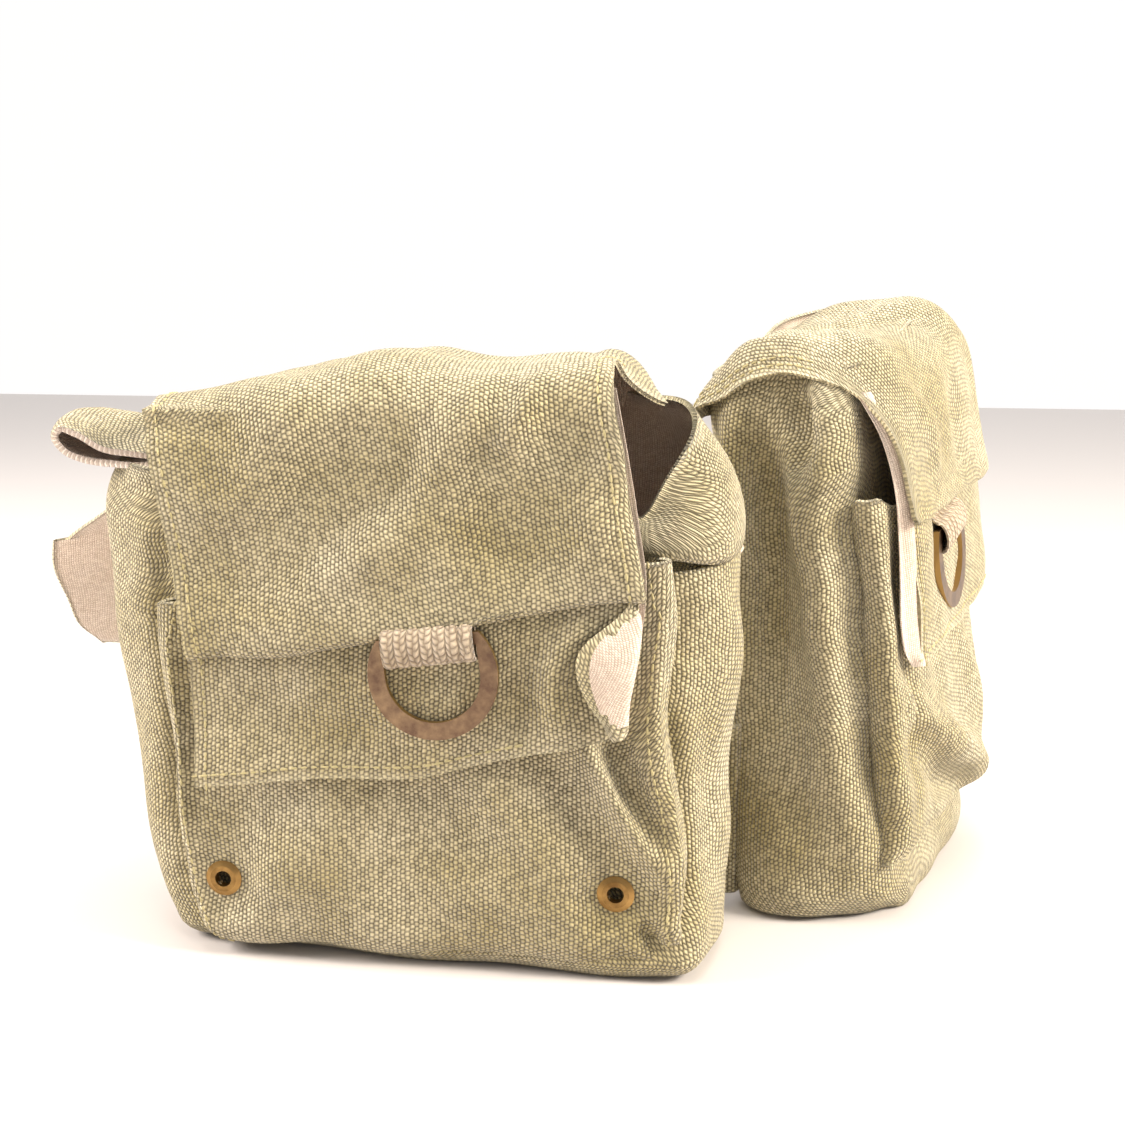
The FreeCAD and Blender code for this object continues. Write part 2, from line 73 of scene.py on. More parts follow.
# each pouch's own frame: origin and axes
hinge = Vector(joints["pouch_fold"]["pos_m"])
upright = Vector((0, 0, 1))
sideUp = Vector(joints["wing_right_fold"]["axis"])
sideAlong = -Vector(joints["side_flap_lift"]["axis"])
sideAcross = (sideAlong - sideUp * sideAlong.dot(sideUp)).normalized()
sideStand = dict(reach=0.072, setBack=0.0265, lift=0.0028)  # pouch middle from the cloth hinge
sideOrigin = (Vector((hinge.x, hinge.y, 0)) + sideAcross * sideStand["reach"]
              - upright.cross(sideAcross) * sideStand["setBack"] + upright * sideStand["lift"])
frames = {
    "main": (np.zeros(3), np.eye(3)),
    "side": (np.array(sideOrigin), np.array([sideAcross, sideUp.cross(sideAcross), sideUp])),
}


def place(pouch, points):
    # a pouch's own millimetres to metres in the bag's frame
    origin, axes = frames[pouch]
    return origin + np.asarray(points, float) * mm @ axes


def smooth(values, knots, where):
    # smooth line through unevenly spaced values
    values = np.asarray(values, float).reshape(len(knots), -1)
    gap = np.diff(knots)[:, None]
    rise = np.diff(values, axis=0) / gap
    middle = (rise[1:] * gap[:-1] + rise[:-1] * gap[1:]) / (gap[:-1] + gap[1:])
    slope = np.vstack([rise[:1], middle, rise[-1:]])
    spot = np.clip(np.searchsorted(knots, where, side="right") - 1, 0, len(knots) - 2)
    width = gap[spot]
    t = ((where - knots[spot])[:, None]) / width
    return ((2 * t**3 - 3 * t**2 + 1) * values[spot] + (t**3 - 2 * t**2 + t) * width * slope[spot]
            + (3 * t**2 - 2 * t**3) * values[spot + 1] + (t**3 - t**2) * width * slope[spot + 1])


def knotsOf(net, axis):
    # mean distance along one way of a control net
    steps = np.linalg.norm(np.diff(net, axis=axis), axis=2).mean(axis=1 - axis)
    return np.concatenate([[0], np.cumsum(np.maximum(steps, 0.05))])


def patch(net, step, loop=False):
    # fine grid through a control net of rows and columns
    net = np.array(net, float)
    lead = 3 if loop else 0
    if loop:
        net = np.concatenate([net[:, -lead:], net, net[:, :lead + 1]], axis=1)
    acrossKnots, upKnots = knotsOf(net, 1), knotsOf(net, 0)
    first, last = acrossKnots[lead], acrossKnots[len(acrossKnots) - 1 - lead]
    across = np.linspace(first, last, max(4, int(round((last - first) / step))) + 1)
    up = np.linspace(0, upKnots[-1], max(3, int(round(upKnots[-1] / step))) + 1)
    rows = smooth(net.transpose(1, 0, 2), acrossKnots, across).reshape(len(across), len(net), 3)
    grid = smooth(rows.transpose(1, 0, 2), upKnots, up).reshape(len(up), len(across), 3)
    return grid[:, :-1] if loop else grid


def clothCoordinates(grid, loop=False):
    # how far each point lies along and up the cloth; a loop has one more column, where it closes
    closed = np.concatenate([grid, grid[:, :1]], axis=1) if loop else grid
    across = np.linalg.norm(np.diff(closed, axis=1), axis=2)
    across = np.hstack([np.zeros((len(grid), 1)), np.cumsum(across, axis=1)])
    middle = across.shape[1] // 2
    across = across - across[:, middle:middle + 1]
    up = np.linalg.norm(np.diff(closed, axis=0), axis=2)
    up = np.vstack([np.zeros((1, closed.shape[1])), np.cumsum(up, axis=0)])
    return np.stack([across, up], axis=2)


def normalsOf(grid, loop=False):
    if loop:
        acrossStep = np.roll(grid, -1, axis=1) - np.roll(grid, 1, axis=1)
    else:
        acrossStep = np.gradient(grid, axis=1)
    normal = np.cross(acrossStep, np.gradient(grid, axis=0))
    length = np.linalg.norm(normal, axis=2, keepdims=True)
    return normal / np.maximum(length, 1e-6)


foldSamples = 48


def resampled(path, count):
    # evenly spaced points on a smooth line through a path, and the path's length
    line = np.array(path, float)
    knots = np.concatenate([[0], np.cumsum(np.linalg.norm(np.diff(line, axis=0), axis=1))])
    return smooth(line, knots, np.linspace(0, knots[-1], count)), knots[-1]


def fold(grid, path, width, height, loop=False, ends=0.5):
    # soft ridge (or valley, if height is below zero) along a line on the cloth
    line = resampled(path, foldSamples)[0]
    flatGrid = grid.reshape(-1, 3)
    away = np.linalg.norm(flatGrid[:, None] - line[None], axis=2)
    nearest = away.argmin(axis=1)
    taper = np.sin(np.pi * np.clip((nearest + 0.5) / len(line), 0, 1)) ** ends
    swell = height * taper * np.exp(-(away.min(axis=1) / width) ** 2)
    direction = normalsOf(grid, loop).reshape(-1, 3)
    return (flatGrid + direction * swell[:, None]).reshape(grid.shape)


def ripple(grid, size, height, seed, loop=False):
    # slack in the cloth: gentle waves a few centimetres long
    shift = Vector((seed * 7.3, seed * 3.1, seed * 5.7))
    waves = [noise.noise(Vector(point) / size + shift) for point in grid.reshape(-1, 3)]
    return grid + normalsOf(grid, loop) * (height * np.array(waves).reshape(grid.shape[:2]))[..., None]


def blurred(values, times, loop):
    for _ in range(times):
        padded = np.concatenate([values[:1], values, values[-1:]])
        values = (padded[:-2] + padded[1:-1] * 2 + padded[2:]) / 4
        side = [values[:, -1:], values[:, :1]] if loop else [values[:, :1], values[:, -1:]]
        padded = np.concatenate([side[0], values, side[1]], axis=1)
        values = (padded[:, :-2] + padded[:, 1:-1] * 2 + padded[:, 2:]) / 4
    return values


# how turned edges look: bulge of the rim, rubbing and its reach in millimetres, weld in metres
clothEdge = dict(bulge=0.8, rubbed=0.6, reach=1.2, weld=0.00004, blur=4)


def clothMesh(name, pouch, grid, depth, skins, loop=False, hole=None, hem=0, flats=None):
    # a sheet with a wall: outer face, inner face and a rounded rim, with flat cloth coordinates in metres
    outward = normalsOf(grid, loop)
    soft = blurred(outward, clothEdge["blur"], loop)
    outward = soft / np.maximum(np.linalg.norm(soft, axis=2, keepdims=True), 1e-6)
    cloth = clothCoordinates(grid, loop) if flats is None else flats
    fromEdge = edgeDistance(grid, loop)
    depth = np.broadcast_to(np.asarray(depth, float), grid.shape[:2])[..., None]
    inner = grid - outward * depth
    rows, columns = grid.shape[:2]
    inside = rows * columns  # where the inner face's points start
    index = np.arange(inside).reshape(rows, columns)
    points = [grid.reshape(-1, 3), inner.reshape(-1, 3)]
    faces, corners, skin = [], [], []
    wide = columns if loop else columns - 1
    for r in range(rows - 1):
        for c in range(wide):
            d = (c + 1) % columns
            if hole is not None and hole[r, c]:
                continue
            quad = (index[r, c], index[r, d], index[r + 1, d], index[r + 1, c])
            flat = (cloth[r, c], cloth[r, c + 1], cloth[r + 1, c + 1], cloth[r + 1, c])
            faces += [quad, tuple(q + inside for q in quad[::-1])]
            corners += [flat, flat[::-1]]
            skin += [0, 2 if fromEdge[r, c] < hem else 1]
    rims = [(index[0, ::-1], cloth[0, ::-1]), (index[-1], cloth[-1])]
    if loop:
        rims[0] = (np.append(index[0, :1], index[0, ::-1]), cloth[0, ::-1])
        rims[1] = (np.append(index[-1], index[-1, :1]), cloth[-1])
    else:
        rims += [(index[:, 0], cloth[:, 0]), (index[::-1, -1], cloth[::-1, -1])]
    away = {}
    edges = [(index[0], grid[0] - grid[1]), (index[-1], grid[-1] - grid[-2])]
    if not loop:
        edges += [(index[:, 0], grid[:, 0] - grid[:, 1]), (index[:, -1], grid[:, -1] - grid[:, -2])]
    for line, out in edges:
        for i, o in zip(line, out):
            away[int(i)] = away.get(int(i), 0) + o / max(np.linalg.norm(o), 1e-6)
    rimPoint, middles = {}, []
    for i, o in away.items():  # the middle of the rim stands out, so the edge reads as turned cloth
        half = depth.reshape(-1)[i] / 2
        o = o / max(np.linalg.norm(o), 1e-6)
        middles.append(grid.reshape(-1, 3)[i] - outward.reshape(-1, 3)[i] * half + o * half * clothEdge["bulge"])
        rimPoint[i] = 2 * inside + len(middles) - 1
    for line, flatLine in rims:
        for k in range(len(line) - 1):
            a, b = int(line[k]), int(line[k + 1])
            faces += [(b, a, rimPoint[a], rimPoint[b]), (rimPoint[b], rimPoint[a], a + inside, b + inside)]
            corners += [(flatLine[k + 1], flatLine[k], flatLine[k], flatLine[k + 1])] * 2
            skin += [2, 2]
    points = np.vstack(points + [np.array(middles)])
    mesh = bpy.data.meshes.new(name)
    mesh.from_pydata(place(pouch, points).tolist(), [], [[int(q) for q in f] for f in faces])
    layer = mesh.uv_layers.new(name="cloth")
    layer.data.foreach_set("uv", (np.array([corner for flat in corners for corner in flat]) * mm).ravel())
    for material in skins:
        mesh.materials.append(material)
    mesh.polygons.foreach_set("material_index", [skinIndex(s, skins) for s in skin])
    mesh.polygons.foreach_set("use_smooth", [True] * len(mesh.polygons))
    worn = (clothEdge["rubbed"] * np.exp(-fromEdge / clothEdge["reach"])).reshape(-1)
    worn = np.concatenate([worn, worn, np.full(len(middles), clothEdge["rubbed"])])
    attribute = mesh.attributes.new("wear", "FLOAT", "POINT")
    attribute.data.foreach_set("value", worn.astype(np.float32))
    if depth.mean() < 0:  # rows that run downwards draw the cloth from its inner side
        mesh.flip_normals()
    work = bmesh.new()
    work.from_mesh(mesh)
    bmesh.ops.remove_doubles(work, verts=work.verts, dist=clothEdge["weld"])
    bmesh.ops.delete(work, geom=[v for v in work.verts if not v.link_faces], context="VERTS")
    work.to_mesh(mesh)
    work.free()
    piece = bpy.data.objects.new(name, mesh)
    scene.collection.objects.link(piece)
    return piece


def skinIndex(face, skins):
    return min(face, len(skins) - 1)


def edgeDistance(grid, loop):
    # distance of each point from the nearest free edge, in millimetres along the cloth
    along = np.linalg.norm(np.diff(grid, axis=0), axis=2)
    fromLow = np.vstack([np.zeros((1, grid.shape[1])), np.cumsum(along, axis=0)])
    if loop:  # a pouch's body has one free edge, its mouth
        return np.maximum(fromLow[-1] - fromLow, 0)
    nearest = np.minimum(fromLow, fromLow[-1] - fromLow)
    over = np.linalg.norm(np.diff(grid, axis=1), axis=2)
    fromLeft = np.hstack([np.zeros((grid.shape[0], 1)), np.cumsum(over, axis=1)])
    return np.minimum(nearest, np.minimum(fromLeft, fromLeft[:, -1:] - fromLeft))


def linear(code):
    # an sRGB hex colour as linear light
    parts = [int(code[i:i + 2], 16) / 255 for i in (1, 3, 5)]
    return [p / 12.92 if p <= 0.04045 else ((p + 0.055) / 1.055) ** 2.4 for p in parts] + [1]


def addNode(tree, kind, settings=(), links=()):
    node = tree.nodes.new(kind)
    for name, value in dict(settings).items():
        if isinstance(name, int) or name in node.inputs:
            node.inputs[name].default_value = value
        else:
            setattr(node, name, value)
    for name, source in dict(links).items():
        tree.links.new(source, node.inputs[name])
    return node


def newMaterial(name, roughness, metallic=0.0, **extra):
    material = bpy.data.materials.new(name)
    material.use_nodes = True
    tree = material.node_tree
    shader = tree.nodes["Principled BSDF"]
    shader.inputs["Roughness"].default_value = roughness
    shader.inputs["Metallic"].default_value = metallic
    for socket, value in extra.items():
        shader.inputs[socket.replace("_", " ")].default_value = value
    return material, tree, shader


# shift of each column of threads against the next, unevenness of the weave, roundness of a thread
weave = dict(stagger=0.5, swayScale=260.0, sway=0.9, round=0.7)


def weaveHeight(tree, pitchAcross, pitchUp):
    # height of a woven thread over its cell: domes in columns, each column shifted against the next
    flat = addNode(tree, "ShaderNodeUVMap", {"uv_map": "cloth"})
    parts = addNode(tree, "ShaderNodeSeparateXYZ", links={0: flat.outputs[0]})
    wobble = addNode(tree, "ShaderNodeTexNoise", {"Scale": weave["swayScale"], "Detail": 1.0},
                     {"Vector": flat.outputs[0]})
    sway = addNode(tree, "ShaderNodeMath", {"operation": "MULTIPLY_ADD", 1: weave["sway"], 2: -weave["sway"] / 2},
                   {0: wobble.outputs["Fac"]})
    column = addNode(tree, "ShaderNodeMath", {"operation": "MULTIPLY_ADD", 1: 1 / pitchAcross},
                     {0: parts.outputs[0], 2: sway.outputs[0]})
    whole = addNode(tree, "ShaderNodeMath", {"operation": "FLOOR"}, {0: column.outputs[0]})
    odd = addNode(tree, "ShaderNodeMath", {"operation": "MULTIPLY", 1: weave["stagger"]}, {0: whole.outputs[0]})
    row = addNode(tree, "ShaderNodeMath", {"operation": "MULTIPLY_ADD", 1: 1 / pitchUp},
                  {0: parts.outputs[1], 2: odd.outputs[0]})
    domes = []
    for source in (column, row):
        part = addNode(tree, "ShaderNodeMath", {"operation": "FRACT"}, {0: source.outputs[0]})
        angle = addNode(tree, "ShaderNodeMath", {"operation": "MULTIPLY", 1: math.pi}, {0: part.outputs[0]})
        dome = addNode(tree, "ShaderNodeMath", {"operation": "SINE"}, {0: angle.outputs[0]})
        domes.append(addNode(tree, "ShaderNodeMath", {"operation": "POWER", 1: weave["round"]}, {0: dome.outputs[0]}))
    height = addNode(tree, "ShaderNodeMath", {"operation": "MULTIPLY"},
                     {0: domes[0].outputs[0], 1: domes[1].outputs[0]})
    cellRow = addNode(tree, "ShaderNodeMath", {"operation": "FLOOR"}, {0: row.outputs[0]})
    cell = addNode(tree, "ShaderNodeCombineXYZ", links={0: whole.outputs[0], 1: cellRow.outputs[0]})
    return height.outputs[0], cell.outputs[0]


def clothMaterial(name, colours, pitch, bump, roughness, fuzz):
    # colours: valley, thread top, worn edge, stain; pitch in metres. The valley colour is painted shade in the gaps
    # between the threads, and the paler thread tops are partly washed-out dye and partly painted light
    material, tree, shader = newMaterial(name, roughness, Sheen_Weight=fuzz, Sheen_Roughness=0.6)
    height, cell = weaveHeight(tree, *pitch)
    spot = addNode(tree, "ShaderNodeTexCoord")
    cloud = addNode(tree, "ShaderNodeTexNoise", {"Scale": 22.0, "Detail": 3.0, "Roughness": 0.6},
                    {"Vector": spot.outputs["Object"]})
    stain = addNode(tree, "ShaderNodeMapRange", {"From Min": 0.35, "From Max": 0.68}, {"Value": cloud.outputs["Fac"]})
    perThread = addNode(tree, "ShaderNodeTexWhiteNoise", {"noise_dimensions": "3D"}, {"Vector": cell})
    spread = addNode(tree, "ShaderNodeMapRange", {"To Min": -0.22, "To Max": 0.18},
                     {"Value": perThread.outputs["Value"]})
    # painted shade: the thread height, with a random tone per thread, blends from the dark valley colour in the gaps up
    # to the pale thread-top colour
    paleTopsShadedGaps = addNode(tree, "ShaderNodeMath", {"operation": "ADD", "use_clamp": True},
                  {0: height, 1: spread.outputs[0]})
    base = addNode(tree, "ShaderNodeMix", {"data_type": "RGBA", 6: linear(colours[0]), 7: linear(colours[1])},
                   {0: paleTopsShadedGaps.outputs[0]})
    stained = addNode(tree, "ShaderNodeMix",
                      {"data_type": "RGBA", "blend_type": "MULTIPLY", 7: linear(colours[3])},
                      {0: stain.outputs[0], 6: base.outputs[2]})
    wear = addNode(tree, "ShaderNodeAttribute", {"attribute_name": "wear"})
    rubbed = addNode(tree, "ShaderNodeMath", {"operation": "MULTIPLY", 1: 0.5}, {0: wear.outputs["Fac"]})
    worn = addNode(tree, "ShaderNodeMix", {"data_type": "RGBA", 7: linear(colours[2])},
                   {0: rubbed.outputs[0], 6: stained.outputs[2]})
    tree.links.new(worn.outputs[2], shader.inputs["Base Color"])
    fibre = addNode(tree, "ShaderNodeTexNoise", {"Scale": 2600.0, "Detail": 2.0},
                    {"Vector": spot.outputs["Object"]})
    both = addNode(tree, "ShaderNodeMath", {"operation": "MULTIPLY_ADD", 1: 0.25},
                   {0: fibre.outputs["Fac"], 2: height})
    relief = addNode(tree, "ShaderNodeBump", {"Strength": 0.9, "Distance": bump}, {"Height": both.outputs[0]})
    tree.links.new(relief.outputs[0], shader.inputs["Normal"])
    return material


# stone-washed cotton canvas, plain weave of thick doubled yarn: domed khaki threads, paler on top from washing, with
# olive painted shade in the gaps between them
canvas = clothMaterial("washedCanvas", colours=("#645936", "#e4d7b2", "#e8dcb6", "#dad4b4"),
                       pitch=(0.0015, 0.00164), bump=0.0009, roughness=0.92, fuzz=0.3)
# polyester lining twill, fine ribs: pale pinkish beige with a slight lustre, with painted shade darkening the grooves
# between the ribs
lining = clothMaterial("liningTwill", colours=("#b9a390", "#eee0d2", "#efe4d8", "#f6efe8"),
                       pitch=(0.0009, 0.0007), bump=0.0002, roughness=0.72, fuzz=0.2)
# cotton webbing, heavy ribbed weave: beige cords with shadowed grooves
webbing = clothMaterial("ribbedWebbing", colours=("#8d7a62", "#cfbda3", "#dccdb6", "#e8dfd0"),
                        pitch=(0.00214, 0.0022), bump=0.0008, roughness=0.88, fuzz=0.3)


def brassMaterial(name, flat, rubbed, forward):
    # stamped flat faces keep the patina colours; everything turned away from them is rubbed bright
    material, tree, shader = newMaterial(name, 0.38, 1.0)
    spot = addNode(tree, "ShaderNodeTexCoord")
    patina = addNode(tree, "ShaderNodeTexNoise", {"Scale": 190.0, "Detail": 5.0, "Roughness": 0.65},
                     {"Vector": spot.outputs["Object"]})
    cloud = addNode(tree, "ShaderNodeMapRange", {"From Min": 0.34, "From Max": 0.72},
                    {"Value": patina.outputs["Fac"]})
    tone = addNode(tree, "ShaderNodeMix", {"data_type": "RGBA", 6: linear(flat[0]), 7: linear(flat[1])},
                   {0: cloud.outputs[0]})
    facing = addNode(tree, "ShaderNodeVectorMath", {"operation": "DOT_PRODUCT", 1: tuple(forward)},
                     {0: spot.outputs["Normal"]})
    turned = addNode(tree, "ShaderNodeMath", {"operation": "ABSOLUTE"}, {0: facing.outputs["Value"]})
    edge = addNode(tree, "ShaderNodeMapRange", {"From Min": 0.97, "From Max": 0.8},
                   {"Value": turned.outputs[0]})
    mixed = addNode(tree, "ShaderNodeMix", {"data_type": "RGBA", 7: linear(rubbed)},
                    {0: edge.outputs[0], 6: tone.outputs[2]})
    tree.links.new(mixed.outputs[2], shader.inputs["Base Color"])
    scratch = addNode(tree, "ShaderNodeTexNoise", {"Scale": 900.0, "Detail": 3.0},
                      {"Vector": spot.outputs["Object"]})
    relief = addNode(tree, "ShaderNodeBump", {"Strength": 0.25, "Distance": 0.0001},
                     {"Height": scratch.outputs["Fac"]})
    tree.links.new(relief.outputs[0], shader.inputs["Normal"])
    return material


# antiqued brass, stamped and tumbled: purple-brown patina on the flat faces, bright golden rubbed edges
ringPatina = ("#6b5648", "#9a8266")
mainBrass = brassMaterial("antiqueBrassMain", ringPatina, "#b79a68", (0, 1, 0))
sideBrass = brassMaterial("antiqueBrassSide", ringPatina, "#a88a5c", frames["side"][1][1])
# rolled brass eyelets, tumbled only lightly
eyeletBrass = brassMaterial("tumbledBrass", ("#6e5330", "#a58450"), "#b8935a", (0, 1, 0))

print("materials ready")


def bagRow(level, left, right, seamLeft, seamRight, front, back, slump):
    # one closed section of a pouch: front panel, right gusset, back panel, left gusset
    middle = (seamLeft + seamRight) / 2
    depth = back - front
    loop = [(seamLeft + 6, front), ((seamLeft + middle) / 2, front - 1), (middle, front - 1.5),
            ((seamRight + middle) / 2, front - 1), (seamRight - 6, front), (seamRight, front + 0.5)]
    loop += [(seamRight + 0.45 * (right - seamRight), front + 0.06 * depth), (right - 3, front + 0.25 * depth),
             (right, front + 0.5 * depth), (right - 3, front + 0.75 * depth),
             (seamRight + 0.45 * (right - seamRight), back - 0.05 * depth)]
    loop += [(seamRight, back), (middle, back + 1), (seamLeft, back)]
    loop += [(seamLeft + 0.45 * (left - seamLeft), back - 0.05 * depth), (left + 3, front + 0.75 * depth),
             (left, front + 0.5 * depth), (left + 3, front + 0.25 * depth),
             (seamLeft + 0.45 * (left - seamLeft), front + 0.06 * depth), (seamLeft, front + 0.5)]
    return [(x, y, level * (1 + slump * x)) for x, y in loop]


def bottomRows(row, lift=0.4, slope=0.0):
    # the bottom panel: the lowest section drawn in to a closed line
    row = np.array(row)
    middle = row.mean(axis=0)
    rows = []
    for share in (0.0, 0.35, 0.7, 0.93):
        ring = middle + (row - middle) * [0.3 + 0.7 * share if share else 0.3, max(share, 0.001), 0]
        ring[:, 2] = lift + slope * ring[:, 1]
        rows.append(ring)
    return rows


def wallOf(body, grid):
    # padded walls thin out to plain canvas and lining at the mouth
    padding = np.clip((body["padTop"] - grid[..., 2]) / body["padFade"], 0, 1)
    return body["mouth"] + (body["wall"] - body["mouth"]) * padding


mainBody = dict(
    step=2.4, wall=4.5, mouth=2.0, padTop=140, padFade=60, slump=0.13 / 190, sag=0.06, floor=0.3,
    # level, left, right, left seam, right seam, front, back
    sections=((1.0, -95, 90, -84, 79, -34, 22), (5, -101, 94, -86, 81, -38, 25),
              (12, -106, 95, -88, 81, -37, 25), (28, -110, 95.5, -91, 80, -31, 25),
              (60, -115, 95, -94, 77, -28, 25), (95, -119, 96.5, -96, 76, -27, 25),
              (118, -122, 98, -97, 75, -27, 25), (130, -123, 98, -98, 74, -27, 25)),
    # path, width, height of the folds
    folds=(
        (((72, -27, 138), (84, -21, 139), (96, -8, 137)), 3.0, -5.0),
        (((74, -29, 144), (86, -24, 145), (96, -14, 144)), 5.0, 2.6),
        (((82, -22, 132), (92, -12, 118), (96, -4, 96)), 7.0, 2.4),
        (((84, -26, 116), (88, -20, 84), (90, -18, 50), (88, -22, 20)), 6.0, -2.2),
        (((-112, -18, 140), (-108, -20, 100), (-104, -20, 60)), 6.0, -2.0),
        (((79, -28, 128), (77, -29, 80), (82, -30, 40), (80, -29, 10)), 3.5, -3.0),
        (((-96, -27, 140), (-93, -28, 80), (-88, -30, 20)), 4.0, -3.0),
        (((96, -6, 120), (95, -8, 70), (95, -8, 25)), 9.0, 1.6),
    ),
)
rows = [bagRow(*section, mainBody["slump"]) for section in mainBody["sections"]]
for i, row in enumerate(rows[:3]):  # the right half of the bottom front sags forward
    rows[i] = [(x, y - mainBody["sag"] * x * (y < -20), z) for x, y, z in row]
base = bottomRows(rows[0])
# the right gusset's pleat, then the ear above it: seam, five gusset points, back seam
upper = [
    dict(front=134, left=(-124, 142), back=142,
         ear=((72, -24, 138), (78, -19, 138), (88, -10, 138.5), (95, 0, 138), (94, 14, 138), (86, 23, 138))),
    dict(front=142, left=(-124, 150), back=150,
         ear=((71, -29, 140), (85, -25.5, 138), (96, -15, 138), (99, -1, 145), (97, 12, 148), (87, 22, 150))),
    dict(front=148, left=(-122, 159), back=166,
         ear=((69, -27, 149), (82, -23.5, 154), (92, -15, 162), (94, -3, 167), (91, 9, 170), (81, 19, 170))),
    dict(front=152, left=(-118, 167), back=182,
         ear=((67, -24, 153), (74, -21, 164), (81, -16, 176), (82, -7, 184), (78, 3, 188), (70, 13, 189))),
]
for row in upper:
    level, leftX, leftZ = row["front"], row["left"][0], row["left"][1]
    seam = -99 + (level - 140) * 0.12
    loop = [(seam + 6, -27, leftZ - 3), (-60, -28, level - 4), (-12, -29, level - 4), (30, -28, level),
            (62, -27, level + 3), *row["ear"]]
    loop += [(62, 25.5, row["back"] + 6), (-16, 26, row["back"] - 1), (-98, 25.5, row["back"] - 7)]
    loop += [(-106, 22, leftZ), (leftX + 3, 12, leftZ), (leftX, 0, leftZ), (leftX + 3, -13, leftZ),
             (-107, -22, leftZ - 1), (seam, -26.5, leftZ - 2)]
    rows.append(loop)
mainGrid = patch(base + rows, mainBody["step"], loop=True)
for path, width, height in mainBody["folds"]:
    mainGrid = fold(mainGrid, path, width, height, True)
mainGrid = ripple(mainGrid, 34.0, 2.4, 1, True)
mainGrid[..., 2] = np.maximum(mainGrid[..., 2], mainBody["floor"])
mainShell = clothMesh("mainShell", "main", mainGrid, wallOf(mainBody, mainGrid), [canvas, lining, canvas],
                      loop=True)
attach(mainShell, "main_pouch")
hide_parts(*[f"main_{n}" for n in (
    "front_canvas", "back_canvas", "bottom_canvas", "gusset_left_canvas", "gusset_right_canvas", "front_foam",
    "back_foam", "bottom_foam", "gusset_left_foam", "gusset_right_foam", "lining", "ear_right")])
print("main shell ready")

# left ear: the gusset's top folded flat, its mouth towards the front
leftEar = dict(step=1.6, wall=2.2, rows=(
    (-21, ((-98, 169.5), (-108, 170.5), (-117, 172), (-126, 177), (-132, 178.5),
          (-134.5, 175), (-131, 169), (-124, 165.5), (-113, 164.8), (-98, 165))),
    (-16, ((-98, 172), (-108, 172.5), (-118, 174), (-127, 178.5), (-134, 180),
          (-137, 175), (-132, 169), (-124, 165), (-113, 164), (-98, 164))),
    (-4, ((-98, 177), (-109, 176), (-120, 178), (-130, 181), (-137, 181),
          (-140, 175), (-135, 168), (-125, 164.5), (-113, 163), (-98, 163))),
    (10, ((-98, 181), (-110, 180), (-122, 181), (-132, 182), (-138, 180),
          (-140, 174), (-135, 168), (-125, 164), (-113, 162), (-98, 161))),
    (22, ((-98, 178), (-110, 177), (-120, 176), (-127, 175), (-131, 173),
          (-132, 170), (-128, 167), (-121, 165), (-112, 164), (-98, 163))),
))
net = [[(x, y, z) for x, z in line[::-1]] for y, line in leftEar["rows"]]
earGrid = patch(net, leftEar["step"])
earGrid = ripple(earGrid, 14.0, 1.0, 4)
earLeft = clothMesh("mainEarLeft", "main", earGrid, leftEar["wall"], [canvas, lining, lining])
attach(earLeft, "main_pouch")
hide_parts("main_ear_left")

# pocket of the main pouch
mainPocket = dict(step=1.8, wall=1.5, tilt=0.11 / 130, rows=(
    # level at the middle, left edge, right edge, front depth
    (4.5, -77, 77, -38.5), (7, -79, 79, -41), (20, -83, 82, -43), (37, -86, 83, -43), (56, -88, 80, -42),
    (79, -89, 75, -41), (100, -91, 76, -40), (117, -92, 78, -39.5), (132, -93, 76, -39)))
net = []
for level, left, right, front in mainPocket["rows"]:
    columns = [(left + 4, -27), (left - 1, -30), (left - 2, -35), (left + 1, front + 2), (left + 8, front + 1),
               (left + 35, front - 0.5), (-8, front - 1), (right - 32, front - 0.5), (right - 9, front + 1),
               (right - 2, front + 1.5), (right + 1.5, -35), (right + 1, -30), (right - 3, -27)]
    slope = mainPocket["tilt"] * level
    net.append([(x, y, level + slope * x) for x, y in columns])
pocketGrid = patch(net, mainPocket["step"])
pocketFolds = (
    # path, width, height: the dart at the right, broad drapes, pinched corner
    (((44, -42, 92), (54, -42, 76), (66, -42, 56), (80, -42, 34)), 5.5, 5.0),
    (((56, -41, 92), (64, -41, 72), (72, -41, 52), (80, -41, 42)), 4.6, -6.5),
    (((36, -42, 84), (46, -42, 64), (60, -42, 42), (72, -42, 30)), 7.0, -3.4),
    (((66, -42, 84), (70, -42, 70), (73, -42, 58)), 4.0, 3.0),
    (((10, -42, 78), (26, -43, 58), (44, -42, 34)), 10.0, 2.6),
    (((-4, -43, 74), (-2, -43, 44), (-14, -43, 16)), 12.0, -2.6),
    (((-30, -43, 74), (-40, -43, 44), (-60, -42, 22)), 12.0, 3.0),
    (((-62, -43, 62), (-66, -43, 44), (-72, -42, 26)), 8.0, -2.6),
    (((68, -40, 21), (74, -40, 14), (79, -38, 9)), 3.0, -4.6),
    (((62, -42, 22), (70, -42, 12), (76, -40, 7)), 3.6, 2.6),
    (((74, -41, 26), (80, -40, 18), (83, -38, 12)), 3.0, 2.6),
)
for path, width, height in pocketFolds:
    pocketGrid = fold(pocketGrid, path, width, height)
pocketPiping = (
    (((77, -40, 130), (74, -40, 84), (81, -40, 50), (81, -40, 16)), 2.2, 2.2),
    (((-90, -38, 110), (-87, -40, 70), (-84, -40, 36), (-78, -39, 12)), 2.2, 2.0),
)
for path, width, height in pocketPiping:  # an even roll almost to its ends
    pocketGrid = fold(pocketGrid, path, width, height, ends=0.2)
pocketGrid = ripple(pocketGrid, 30.0, 2.6, 8)
eyelets = [tuple((Vector(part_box(n)[0]) + Vector(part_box(n)[1])) / 2 / mm) for n in ("eyelet_left", "eyelet_right")]
